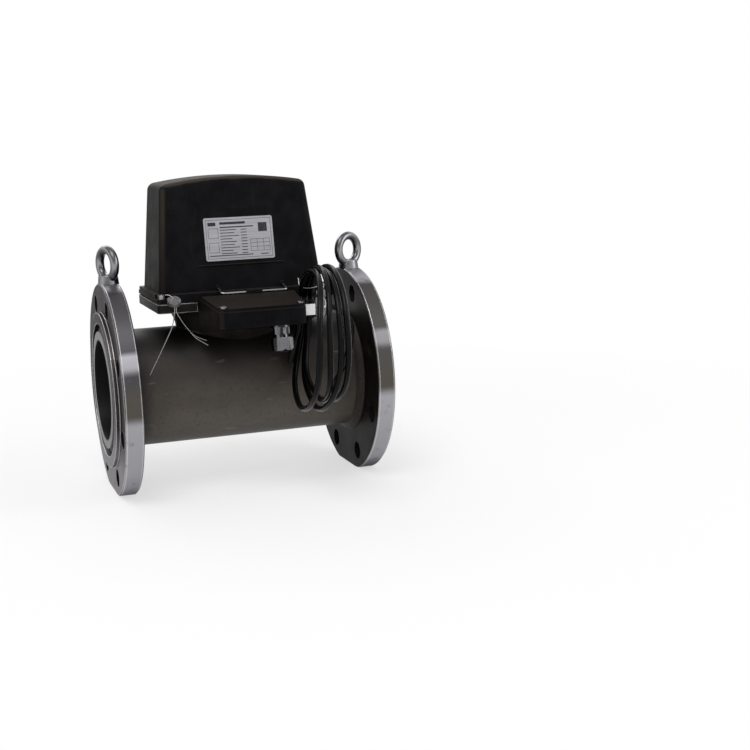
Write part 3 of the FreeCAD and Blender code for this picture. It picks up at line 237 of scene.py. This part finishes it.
def flange_steel():
    """Turned steel, painted behind, with painted reflection in stripes round the rim, painted highlights,
    and painted shade in the holes.

    The rings that the tool leaves on the face are drawn about 1.5 mm apart so that they show."""
    material, tree, shader, place = new_material(
        "flange_steel", Specular_IOR_Level=0.04, Specular_Tint=colour("#b9b7b8"),
    )
    split, depth, radius, height = round_the_pipe(tree, place)
    cloud = patches(tree, place, 40, 4, (0.1, 1, 1))
    # Painted reflection: bright and dark stripes round the rims by height, as a room shows in turned steel
    tilt = add(tree, MATH, {0: split["X"], 1: REFLECTION_BAND_TILT, 2: height}, operation="MULTIPLY_ADD")["Value"]
    light_and_shade_level = add(tree, MATH, {0: cloud, 1: 0.12, 2: tilt}, operation="MULTIPLY_ADD")["Value"]
    bright, grey, dark = "#a3a2a7", "#4b494c", "#54504b"
    painted_reflection_bands = banded(tree, light_and_shade_level, [
        (-0.9, grey), (-0.75, bright), (-0.11, bright), (0, dark), (0.13, dark),
        (0.35, grey), (0.44, bright), (0.51, bright), (0.57, grey),
    ])
    # Painted shade on the upper half of the outlet rim
    painted_shade_mask = add(tree, MATH, {0: split["X"], 1: height}, operation="MINIMUM")["Value"]
    rim_with_painted_shade = overlay(tree, painted_reflection_bands, "#514d49", painted_shade_mask, *metres(OUTLET_RIM_SHADE), 0.4)
    # Painted highlight along the top of the rims
    highlight_crest = add(tree, MATH, {0: split["X"], 1: HIGHLIGHT_CREST_TILT, 2: height}, operation="MULTIPLY_ADD")["Value"]
    rim = overlay(tree, rim_with_painted_shade, bright, highlight_crest, 0.9, 0.95)
    track = add(tree, COMBINE, {"X": radius})["Vector"]
    rings = patches(tree, track, 1.5, 4)
    face = overlay(tree, "#504e4e", "#332f2e", rings, 0.35, 0.65)
    # Painted light: the face is lighter towards its bottom, with clouds
    face_lit_below = overlay(tree, face, "#aaa8ac", light_and_shade_level, -0.15, -0.75, 0.8)
    metal = overlay(tree, rim, face_lit_below, depth, *step_at(RIM_FACE))
    stained = overlay(tree, metal, "#57524e", patches(tree, place, 10, 7), 0.58, 0.75, 0.5)
    # The chamfers are bright steel, painted near white on the edges as a painted highlight
    edge_glint = overlay(tree, stained, "#f0eff1", worn_edges(tree, 1.4), 0.01, 0.12)

    coat = overlay(tree, "#0f0e0d", "#191614", patches(tree, place, 14, 6), 0.35, 0.7)
    painted = overlay(tree, coat, edge_glint, depth, *step_at(FLANGE_BACK))
    from_hole = from_bolt_hole(tree, split, radius)
    # Painted shade: dark inside the bolt holes
    painted_hole_shade = overlay(tree, painted, "#171615", from_hole, *metres(BOLT_HOLE_EDGE))
    tree.links.new(painted_hole_shade, shader["Base Color"])
    turned = overlay(tree, "#000000", "#ffffff", depth, *step_at(FLANGE_BACK))
    # The holes are not metallic, so that their painted shade shows no reflection
    bare = overlay(tree, turned, "#000000", from_hole, *metres(BOLT_HOLE_EDGE))
    tree.links.new(bare, shader["Metallic"])
    vary(tree, shader["Roughness"], cloud, 0.34, 0.46)
    relief(tree, shader, rings, 0.1, 0.1, 0.8)
    return material


def weld_bead():
    """Weld ground smooth and painted with the pipe: faint ripples about 3 mm apart round it, darker at the
    inlet as painted shadow.
    """
    material, tree, shader, place = new_material(
        "weld_bead", IOR=1.5, Roughness=0.5, Specular_IOR_Level=0.12,
    )
    ripple = patches(tree, place, 3, 2)
    coat = overlay(tree, "#2b2724", "#35302c", ripple, 0.3, 0.7)
    along = add(tree, SPLIT, {"Vector": place})["X"]
    # Painted shadow of the inlet flange on its weld
    tree.links.new(overlay(tree, coat, "#151413", along, *metres(INLET_WELD_SHADOW)), shader["Base Color"])
    relief(tree, shader, ripple, 0.25, 0.5)
    return material


def casting_enamel():
    """Grey-brown enamel on a casting: pebbled, and worn to the metal on its edges, a wear that fades out to
    the right as painted shade.
    """
    material, tree, shader, place = new_material("casting_enamel", IOR=1.5, Specular_IOR_Level=0.08)
    coat = overlay(tree, "#1a1816", "#282420", patches(tree, place, 16, 6), 0.35, 0.7)
    along = add(tree, SPLIT, {"Vector": place})["X"]
    # Worn edges show at the left and fade out to the right, as painted shade where the casting lies in
    # shadow
    least, most = metres(WEAR_INTO_SHADE)
    limits = {"Value": along, "From Min": most, "From Max": least, "To Min": 1.0, "To Max": 0.0}
    wear_outside_shade = add(tree, RANGE, limits)["Result"]
    chips = add(tree, MATH, {0: patches(tree, place, 6, 5), 1: wear_outside_shade}, operation="MULTIPLY")["Value"]
    edge = add(tree, MATH, {0: worn_edges(tree, 1.6), 1: chips}, operation="MULTIPLY")["Value"]
    worn = overlay(tree, coat, "#c2bdb3", edge, 0.015, 0.06)
    tree.links.new(worn, shader["Base Color"])
    pebbles = patches(tree, place, 1.8)
    vary(tree, shader["Roughness"], pebbles, 0.42, 0.55)
    relief(tree, shader, pebbles, 0.35, 0.3)
    return material


def black_abs():
    """Black moulded ABS with a fine spark-eroded grain. Its top is dusted brown and painted lighter higher
    up as painted light; its left side has painted light and its corners a painted highlight.

    The grain is drawn about 1 mm across so that it shows."""
    material, tree, shader, place = new_material("black_abs", IOR=1.5, Specular_IOR_Level=0.03)
    facing = add(tree, SPLIT, {"Vector": add(tree, COORDINATES)["Normal"]})
    smear = patches(tree, place, 16, 6)
    base = overlay(tree, "#0d0d0f", "#151517", smear, 0.3, 0.7)
    streaked = overlay(tree, base, "#211f1d", patches(tree, place, 5, 6, (1, 1, 0.2)), 0.55, 0.8, 0.5)
    level = add(tree, SPLIT, {"Vector": place})["Z"]
    # Brown dusting on upward faces, painted lighter higher up as painted light
    dust_and_light = overlay(tree, "#231f1d", "#38332e", level, *metres(TOP_DUST_AND_LIGHT))
    fall = add(tree, MATH, {0: smear, 1: 0.3, 2: facing["Z"]}, operation="MULTIPLY_ADD")["Value"]
    dusted_and_lit = overlay(tree, streaked, dust_and_light, fall, 0.65, 0.9)
    # Painted light: browner on faces turned to the left
    painted_side_light = overlay(tree, dusted_and_lit, "#16120f", facing["X"], -0.5, -0.95, 0.7)
    # Painted highlight down the rounded vertical corners, in the colour of the top
    corner = add(tree, MATH, {0: facing["X"], 1: facing["Y"]}, operation="MULTIPLY")["Value"]
    painted_corner_highlight = overlay(tree, painted_side_light, dust_and_light, corner, 0.3, 0.5, 0.7)
    worn = overlay(tree, painted_corner_highlight, "#47423c", worn_edges(tree, 0.7), 0.02, 0.2, 0.35)
    tree.links.new(worn, shader["Base Color"])
    vary(tree, shader["Roughness"], smear, 0.48, 0.6)
    relief(tree, shader, patches(tree, place, 1.0, 2), 0.3, 0.2)
    return material


def plated_metal(name, shades, roughness, size, stretch=(1, 1, 1), swing=0.1):
    """Plated metal with painted reflection: bright on its edges and towards the room's light, darker to the
    sides, with clouds.

    Its shades are a light, a middle and a dark one. Clouds that are drawn out are streaks."""
    light, middle, dark = shades
    material, tree, shader, place = new_material(name, Metallic=1.0)
    facing = add(tree, COORDINATES)["Normal"]
    # Painted reflection and light: the colour follows how far each face turns to the room's light
    toward = add(tree, VECTOR, {0: facing, 1: ROOM_LIGHT_WAY}, operation="DOT_PRODUCT")["Value"]
    cloud = patches(tree, place, size, 4, stretch)
    sway = add(tree, RANGE, {"Value": cloud, "To Min": -swing, "To Max": swing})["Result"]
    tone = add(tree, MATH, {0: sway, 1: toward}, operation="ADD")["Value"]
    plate = banded(tree, tone, [(-0.4, middle), (0.15, dark), (0.4, middle), (0.74, light), (0.92, middle)])
    # Painted highlight on the edges
    reflection_and_edge_glint = overlay(tree, plate, "#cfced0", worn_edges(tree, 0.3), 0.06, 0.2)
    tree.links.new(reflection_and_edge_glint, shader["Base Color"])
    vary(tree, shader["Roughness"], cloud, *roughness)
    relief(tree, shader, cloud, 0.06, 0.1, 0.4)
    return material


def soft_lead():
    """Lead, pressed between tongs: dull grey with small dents."""
    material, tree, shader, place = new_material("soft_lead", Metallic=0.75, Roughness=0.58)
    dent = patches(tree, place, 3, 4)
    tree.links.new(overlay(tree, "#59575a", "#78767a", dent, 0.3, 0.7), shader["Base Color"])
    relief(tree, shader, dent, 0.6, 0.6, 0.8)
    return material


def moulded(name, light, dark, rough, grain, shine=0.3):
    """A plain moulded or extruded polymer: slight clouds in its colour and a fine grain."""
    material, tree, shader, place = new_material(name, IOR=1.5, Specular_IOR_Level=shine)
    cloud = patches(tree, place, 12, 4)
    tree.links.new(overlay(tree, light, dark, cloud, 0.3, 0.7), shader["Base Color"])
    vary(tree, shader["Roughness"], cloud, rough, rough + 0.1)
    relief(tree, shader, patches(tree, place, grain), 0.15, 0.12, 0.3)
    return material


def printed_foil():
    """Foil on the nameplate: satin, pale grey, with a faint brushed grain along X."""
    material, tree, shader, place = new_material("printed_foil", Metallic=0.2)
    grain = patches(tree, place, 1.2, 4, (0.04, 1, 1))
    tree.links.new(overlay(tree, "#96969b", "#a5a5a9", grain, 0.3, 0.7), shader["Base Color"])
    vary(tree, shader["Roughness"], grain, 0.42, 0.54)
    relief(tree, shader, grain, 0.1, 0.05, 0.2)
    return material


def print_ink():
    """Dark ink screened on the foil: flat grey, a little thin in places."""
    material, tree, shader, place = new_material("print_ink", Roughness=0.6, Specular_IOR_Level=0.2)
    thin = patches(tree, place, 2, 3)
    tree.links.new(overlay(tree, "#2c2c30", "#55555a", thin, 0.5, 0.8), shader["Base Color"])
    return material


def seen_or_mirrored(tree):
    """The light path, and 1 where a place is seen straight or in a mirror."""
    path = add(tree, "ShaderNodeLightPath")
    rays = {0: path["Is Camera Ray"], 1: path["Is Glossy Ray"]}
    return path, add(tree, MATH, rays, operation="MAXIMUM")["Value"]


def pale_floor():
    """A matt pale floor that looks white, fades into the white surround and keeps the shadow."""
    material, tree, shader, place = new_material("pale_floor", Base_Color=colour("#f2f2f2"), Roughness=0.9)
    seen = seen_or_mirrored(tree)[1]
    far = add(tree, VECTOR, {0: place}, operation="LENGTH")["Value"]
    fade = {"Value": far, "From Min": 0.3, "From Max": 0.9, "To Min": 0.6, "To Max": 1.0}
    share = add(tree, MATH, {0: seen, 1: add(tree, RANGE, fade)["Result"]}, operation="MULTIPLY")["Value"]
    white = add(tree, "ShaderNodeEmission", {"Color": colour("#ffffff"), "Strength": 1.0})["Emission"]
    matt = tree.nodes["Principled BSDF"].outputs["BSDF"]
    surface = add(tree, "ShaderNodeMixShader", {"Fac": share, 1: matt, 2: white})["Shader"]
    tree.links.new(surface, tree.nodes["Material Output"].inputs["Surface"])
    return material


# Camera, floor and light

def photo_camera():
    """The camera stands in front, to the left and a little above the pipe."""
    data = bpy.data.cameras.new("photo_camera")
    data.sensor_width = SENSOR_WIDTH
    data.lens = CAMERA_LENS
    camera = bpy.data.objects.new("photo_camera", data)
    look = (Vector(CAMERA_TARGET) - Vector(CAMERA_PLACE)).to_track_quat("-Z", "Y")
    camera.location = CAMERA_PLACE
    camera.rotation_mode = "QUATERNION"
    camera.rotation_quaternion = look @ Quaternion((0, 0, 1), -CAMERA_ROLL)
    bpy.context.scene.collection.objects.link(camera)
    bpy.context.scene.camera = camera


def soft_light(name, place, size, energy):
    """A large lamp that is turned to the meter."""
    data = bpy.data.lights.new(name, "AREA")
    data.shape = "RECTANGLE"
    data.size, data.size_y = size
    data.energy = energy
    lamp = bpy.data.objects.new(name, data)
    lamp.location = place
    lamp.rotation_euler = (Vector(LAMP_TARGET) - Vector(place)).to_track_quat("-Z", "Y").to_euler()
    bpy.context.scene.collection.objects.link(lamp)


def studio():
    """A pale floor, a white surround and three large soft lamps."""
    half = FLOOR_HALF
    corners = [(-half, -half), (half, -half), (half, half), (-half, half)]
    floor = bpy.data.meshes.new("floor")
    floor.from_pydata([(x, y, FLOOR_LEVEL) for x, y in corners], [], [(0, 1, 2, 3)])
    floor.materials.append(pale_floor())
    ground = bpy.data.objects.new("floor", floor)
    bpy.context.scene.collection.objects.link(ground)

    world = bpy.data.worlds.new("surround")
    world.use_nodes = True
    bpy.context.scene.world = world
    tree = world.node_tree
    path, seen = seen_or_mirrored(tree)
    plain = add(tree, MATH, {0: seen, 1: path["Is Transmission Ray"]}, operation="MAXIMUM")["Value"]
    strength = add(tree, RANGE, {"Value": plain, "To Min": SURROUND_LIGHT, "To Max": 1.0})["Result"]
    sky = tree.nodes["Background"].inputs
    sky["Color"].default_value = colour("#ffffff")
    tree.links.new(strength, sky["Strength"])

    soft_light("key_lamp", place=(-0.6, -0.9, 1.9), size=(1.1, 1.1), energy=24)
    soft_light("side_lamp", place=(1.5, -0.9, 0.9), size=(0.9, 1.4), energy=10)
    soft_light("back_lamp", place=(-0.2, 1.5, 1.3), size=(1.6, 0.8), energy=10)
    bpy.context.scene.view_settings.view_transform = "Standard"


def add_piece(name, data, material, body):
    """Puts a new piece in the scene, where its mesh or curve says, and lets it move with a body."""
    piece = bpy.data.objects.new(name, data)
    data.materials.clear()
    data.materials.append(material)
    bpy.context.scene.collection.objects.link(piece)
    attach(piece, body)
    return piece


# Nameplate print: each bar or box by its left and lower edge, width and height, in millimetres

PLATE_FOOT = (-35, -40.884, 125.897)
PLATE_LEAN = math.radians(9.28)
PRINT_LIFT = 0.05
PRINT_LINE = 0.35
PRINT_ROWS = 9
PRINT_ROW_START = 6.4
PRINT_ROW_PITCH = 2.9
PRINT_ROW_HEIGHT = 0.8
PRINT_ROW_LENGTHS = [16, 12, 19, 14]
ENTRY_LEFT = 16
VALUE_LEFT = 37
VALUE_LENGTH = 6
PRINT_TABLE = (46, 8, 20, 12)
TABLE_COLUMN = 6.7
TABLE_ROW = 4
PRINT_BOXES = [(2, 2, 66, 38.5), (4, 22, 10, 10), (4, 8, 10, 10), PRINT_TABLE]
PRINT_BARS = [
    (16, 35.5, 26, 2.4), (16, 32.2, 34, 1.2), (55, 27, 9, 9),
    (4, 34.4, 8, 3.6), (4, 4.4, 44, 0.9), (56, 4.4, 8, 0.9),
]


def outlined(box):
    """The four thin bars round a box."""
    left, low, wide, high = box
    return [
        (left, low, wide, PRINT_LINE),
        (left, low + high - PRINT_LINE, wide, PRINT_LINE),
        (left, low, PRINT_LINE, high),
        (left + wide - PRINT_LINE, low, PRINT_LINE, high),
    ]


def nameplate_print(material):
    """Lines, boxes and rows of short bars on the nameplate."""
    bars = list(PRINT_BARS)
    for box in PRINT_BOXES:
        bars += outlined(box)
    for row in range(PRINT_ROWS):
        low = PRINT_ROW_START + row * PRINT_ROW_PITCH
        length = PRINT_ROW_LENGTHS[row % len(PRINT_ROW_LENGTHS)]
        bars.append((ENTRY_LEFT, low, length, PRINT_ROW_HEIGHT))
        bars.append((VALUE_LEFT, low, VALUE_LENGTH, PRINT_ROW_HEIGHT))
    left, low, wide, high = PRINT_TABLE
    for line in (1, 2):
        bars.append((left, low + TABLE_ROW * line, wide, PRINT_LINE))
        bars.append((left + TABLE_COLUMN * line, low, PRINT_LINE, high))

    rise = (0, math.sin(PLATE_LEAN), math.cos(PLATE_LEAN))
    out = (0, -math.cos(PLATE_LEAN), math.sin(PLATE_LEAN))
    points = []
    faces = []
    for left, low, wide, high in bars:
        start = len(points)
        right = left + wide
        top = low + high
        for along, above in ((left, low), (right, low), (right, top), (left, top)):
            points.append([
                (PLATE_FOOT[0] + along) * MM,
                (PLATE_FOOT[1] + above * rise[1] + PRINT_LIFT * out[1]) * MM,
                (PLATE_FOOT[2] + above * rise[2] + PRINT_LIFT * out[2]) * MM,
            ])
        faces.append(range(start, start + 4))
    mesh = bpy.data.meshes.new("nameplate_print")
    mesh.from_pydata(points, [], faces)
    add_piece("nameplate_print", mesh, material, METER)


# Socket-head screws

SCREW_SIZES = ["Head Radius", "Head Height", "Socket Radius", "Shank Radius", "Shank Length"]
HEAD_SIDES = 36
SOCKET_SIDES = 6
SHANK_SIDES = 24

# The seats and, in the order above, the sizes of each set of screws in millimetres
HOOD_SEATS = [(x, y, 93) for x in (-83.2, 83.2) for y in (-49.5, 49.5)]
HOOD_SCREW = [4.1, 3.9, 2, 3, 13]
LID_SEATS = [(x, -113.264, 86.779) for x in (-37.6, 37.6)]
LID_SCREW = [3.5, 2.6, 1.8, 2, 6]
LID_SLOPE = math.asin(0.1149)


def screw_tree():
    """A socket-head screw on each seat: its head with a six-sided socket, and its shank."""
    tree = bpy.data.node_groups.new("socket_screws", "GeometryNodeTree")
    sockets = tree.interface
    sockets.new_socket("Seats", in_out="INPUT", socket_type="NodeSocketGeometry")
    for name in SCREW_SIZES + ["Lean"]:
        sockets.new_socket(name, in_out="INPUT", socket_type="NodeSocketFloat")
    sockets.new_socket("Finish", in_out="INPUT", socket_type="NodeSocketMaterial")
    sockets.new_socket("Screws", in_out="OUTPUT", socket_type="NodeSocketGeometry")
    given = add(tree, "NodeGroupInput")
    result = tree.nodes.new("NodeGroupOutput")

    def cylinder(sides, radius, length, share):
        """A cylinder whose middle is this share of the length above the seat."""
        sizes = {"Vertices": sides, "Radius": radius, "Depth": length}
        block = add(tree, "GeometryNodeMeshCylinder", sizes)["Mesh"]
        middle = add(tree, MATH, {0: length, 1: share}, operation="MULTIPLY")["Value"]
        shift = add(tree, COMBINE, {"Z": middle})["Vector"]
        return add(tree, "GeometryNodeTransform", {"Geometry": block, "Translation": shift})["Geometry"]

    head = cylinder(HEAD_SIDES, given["Head Radius"], given["Head Height"], 0.5)
    socket = cylinder(SOCKET_SIDES, given["Socket Radius"], given["Head Height"], 1.0)
    shank = cylinder(SHANK_SIDES, given["Shank Radius"], given["Shank Length"], -0.5)
    painted_hole_shade = add(
        tree, "GeometryNodeMeshBoolean", {"Mesh 1": head, "Mesh 2": socket}, operation="DIFFERENCE"
    )["Mesh"]
    screw = add(tree, "GeometryNodeJoinGeometry", {"Geometry": [painted_hole_shade, shank]})["Geometry"]
    lean = add(tree, COMBINE, {"X": given["Lean"]})["Vector"]
    links = {"Points": given["Seats"], "Instance": screw, "Rotation": lean}
    placed = add(tree, "GeometryNodeInstanceOnPoints", links)["Instances"]
    real = add(tree, "GeometryNodeRealizeInstances", {"Geometry": placed})["Geometry"]
    links = {"Geometry": real, "Material": given["Finish"]}
    finished = add(tree, "GeometryNodeSetMaterial", links)["Geometry"]
    tree.links.new(finished, result.inputs["Screws"])
    return tree


def screw_set(tree, name, seats, sizes, lean, material, body, node):
    """Screws on a list of seats, made a plain mesh that stands for a CAD node."""
    data = bpy.data.meshes.new(name)
    data.from_pydata([metres(seat) for seat in seats], [], [])
    holder = bpy.data.objects.new(name + "_seats", data)
    bpy.context.scene.collection.objects.link(holder)
    modifier = holder.modifiers.new("screws", "NODES")
    modifier.node_group = tree
    values = dict(zip(SCREW_SIZES, metres(sizes)))
    values["Lean"] = lean
    values["Finish"] = material
    for item in tree.interface.items_tree:
        if item.name in values:
            modifier[item.identifier] = values[item.name]
    evaluated = holder.evaluated_get(bpy.context.evaluated_depsgraph_get())
    mesh = bpy.data.meshes.new_from_object(evaluated)
    holder.modifiers.remove(modifier)
    bpy.data.objects.remove(holder)
    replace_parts(add_piece(name, mesh, material, body), node)


def socket_screws(material):
    """The screws of the hood and of the lid."""
    tree = screw_tree()
    screw_set(tree, "hood_socket_screws", HOOD_SEATS, HOOD_SCREW, 0, material, METER, "hood_screws")
    screw_set(tree, "lid_socket_screws", LID_SEATS, LID_SCREW, LID_SLOPE, material, LID, "lid_screws")


# Signal cable

CABLE_RADIUS = 2.8
LEAD_ROUTE = [
    (63.52, -85.42, 78.6), (65.4, -85.57, 78.6), (79.37, -86.68, 78.6), (91.5, -86.3, 71.6),
    (98.4, -84.6, 59.5), (98.9, -81.7, 43.3), (93.5, -82, 27), (84, -90, 13.5),
    (72.5, -102, 4), (63.5, -117, -2.4), (59.5, -134, -4.8),
]
COIL_CENTRE = (-128, 53.8)
POINTS_PER_TURN = 16
SPLINE_MIDDLE = 0.75

# Where the turns pass at each quarter, from the bottom by the front, the top and the back, and how far out
COIL_X = [59, 57, 62.8, 61.6, 45.4, 50.3, 57.8, 60, 49, 40.3, 52.8, 55.8, 29.7, 29.5, 47.8, 50.6]
COIL_RADIUS = [58, 67.6, 68, 68.2, 66.8, 66.5, 65, 61.4, 58, 64, 68, 68.2, 65, 66.5, 65, 64.8]

# Below the box the turns lean to the left, between these two angles and by this much
LEAN_FROM = math.radians(262)
LEAN_TO = math.radians(345)
LEAN = 6.2

# The last stretch hangs free and ends in its cap
TAIL_ROUTE = [
    (50.6, -70.2, 82.5), (51.1, -64.6, 66.5), (49.6, -63.3, 54.5),
    (44.4, -63.8, 42), (41.1, -64.4, 30.1), (39.8, -64.7, 25.5),
]


def eased(values, quarter):
    """A value between the quarters of a turn, with no kink at them."""
    first = min(int(quarter), len(values) - 2)
    share = (1 - math.cos(math.pi * (quarter - first))) / 2
    return values[first] + (values[first + 1] - values[first]) * share


def coil_points():
    """Control points of the loose turns. They stand a little outside of the spline that they make."""
    step = 4 / POINTS_PER_TURN
    outside = 1 / (SPLINE_MIDDLE + (1 - SPLINE_MIDDLE) * math.cos(math.tau / POINTS_PER_TURN))
    count = int((len(COIL_X) - 1) / step)
    points = []
    for i in range(1, count - 1):
        quarter = i * step
        angle = quarter * math.pi / 2
        reach = eased(COIL_RADIUS, quarter) * outside
        through = min(max((angle % math.tau - LEAN_FROM) / (LEAN_TO - LEAN_FROM), 0), 1)
        points.append((
            eased(COIL_X, quarter) - LEAN * math.sin(math.pi * through) ** 2,
            COIL_CENTRE[0] - reach * math.sin(angle),
            COIL_CENTRE[1] - reach * math.cos(angle),
        ))
    return points


def signal_cable(material):
    """One length of cable: out of the side gland, down, round its turns and into its end cap."""
    route = LEAD_ROUTE + coil_points() + TAIL_ROUTE
    data = bpy.data.curves.new("signal_cable", "CURVE")
    data.dimensions = "3D"
    data.bevel_depth = CABLE_RADIUS * MM
    data.bevel_resolution = 4
    data.use_fill_caps = True
    spline = data.splines.new("NURBS")
    spline.points.add(len(route) - 1)
    for point, place in zip(spline.points, route):
        point.co = (*metres(place), 1)
    spline.order_u = 3
    spline.use_endpoint_u = True
    spline.resolution_u = 6
    cable = add_piece("signal_cable", data, material, METER)
    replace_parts(cable, "cable_lead", "cable_coil")


def dress_meter():
    """Gives every piece the finish of what it is made of, and adds the pieces that are drawn finer here."""
    zinc = plated_metal("zinc_plated_steel", ["#959497", "#535154", "#272526"], (0.24, 0.36), size=20)
    nickel = plated_metal("nickel_plated_brass", ["#dad9db", "#6f6d6f", "#262425"], (0.14, 0.24), size=9)
    # The lower gland's nickel: a darker copy of the side gland's, as painted shade under the box
    nickel_in_shade = plated_metal(
        "nickel_plate_in_shade", ["#737275", "#2f2d2e", "#121011"], (0.14, 0.24),
        size=5, stretch=(1, 1, 0.06), swing=0.6,
    )
    wire = plated_metal("drawn_steel_wire", ["#b9b8b8", "#8b8a8a", "#666565"], (0.22, 0.34), size=6)
    machined = plated_metal("machined_steel", ["#a5a4a6", "#807f82", "#555457"], (0.26, 0.38), size=12)
    brass = plated_metal("turned_brass", ["#c9a862", "#a5854a", "#6d5730"], (0.25, 0.35), size=9)
    tin = plated_metal("tinned_sheet", ["#bcbcba", "#9a9a98", "#70706f"], (0.3, 0.42), size=15)
    abs_black = black_abs()
    casting = casting_enamel()
    flange = flange_steel()
    rubber = moulded("black_rubber", "#161616", "#1e1e1e", rough=0.6, grain=0.8, shine=0.15)
    sheath = moulded("wire_sheath", "#2a2b2e", "#333437", rough=0.4, grain=1.0)
    cable = moulded("cable_pvc", "#060607", "#0a0a0b", rough=0.18, grain=1.5, shine=0.1)
    sleeve = moulded("shrink_sleeve", "#0a0a0b", "#101011", rough=0.45, grain=0.8, shine=0.15)
    green = moulded("terminal_polyamide", "#2f6a45", "#2a5f3e", rough=0.4, grain=0.8)
    resist = moulded("solder_resist", "#0f4a2a", "#0c4024", rough=0.25, grain=0.6)
    plug = moulded("plug_polyamide", "#232324", "#1c1c1d", rough=0.45, grain=0.8)
    lead = soft_lead()
    finishes = {
        "meter_pipe": pipe_enamel(),
        "inlet_flange": flange,
        "outlet_flange": flange,
        "flange_welds": weld_bead(),
        "inlet_eye_bolt": zinc,
        "outlet_eye_bolt": zinc,
        "pedestal": casting,
        "base_tray": casting,
        "base_screws": zinc,
        "hood": abs_black,
        "hood_screws": zinc,
        "hood_gasket": rubber,
        "nameplate": printed_foil(),
        "hinge_wire": wire,
        "terminal_box": abs_black,
        "terminal_lid": abs_black,
        "lid_screws": zinc,
        "lid_gasket": rubber,
        "lid_pillars": brass,
        "box_screws": zinc,
        "terminal_block": green,
        "terminal_clamps": zinc,
        "lower_gland_body": nickel_in_shade,
        "lower_gland_nut": nickel_in_shade,
        "lower_gland_locknut": nickel_in_shade,
        "lower_gland_seal": rubber,
        "lower_gland_plug": plug,
        "side_gland_body": nickel,
        "side_gland_nut": nickel,
        "side_gland_locknut": nickel,
        "side_gland_seal": rubber,
        "transducer_sockets": machined,
        "upstream_transducer": machined,
        "downstream_transducer": machined,
        "transducer_seals": rubber,
        "transducer_nuts": machined,
        "transducer_leads": sheath,
        "circuit_board": resist,
        "board_standoffs": brass,
        "board_screws": zinc,
        "board_shield": tin,
        "board_connector": green,
        "board_harness": sheath,
        "cable_cores": sheath,
        "cable_lead": cable,
        "cable_coil": cable,
        "cable_end_cap": sleeve,
        "left_lead_seal": lead,
        "right_lead_seal": lead,
        "left_seal_wire": wire,
        "coil_tie_wire": wire,
    }
    for name, material in finishes.items():
        mesh = NODES[name].data
        mesh.materials.clear()
        mesh.materials.append(material)
    signal_cable(cable)
    socket_screws(zinc)
    nameplate_print(print_ink())


photo_camera()
studio()
dress_meter()
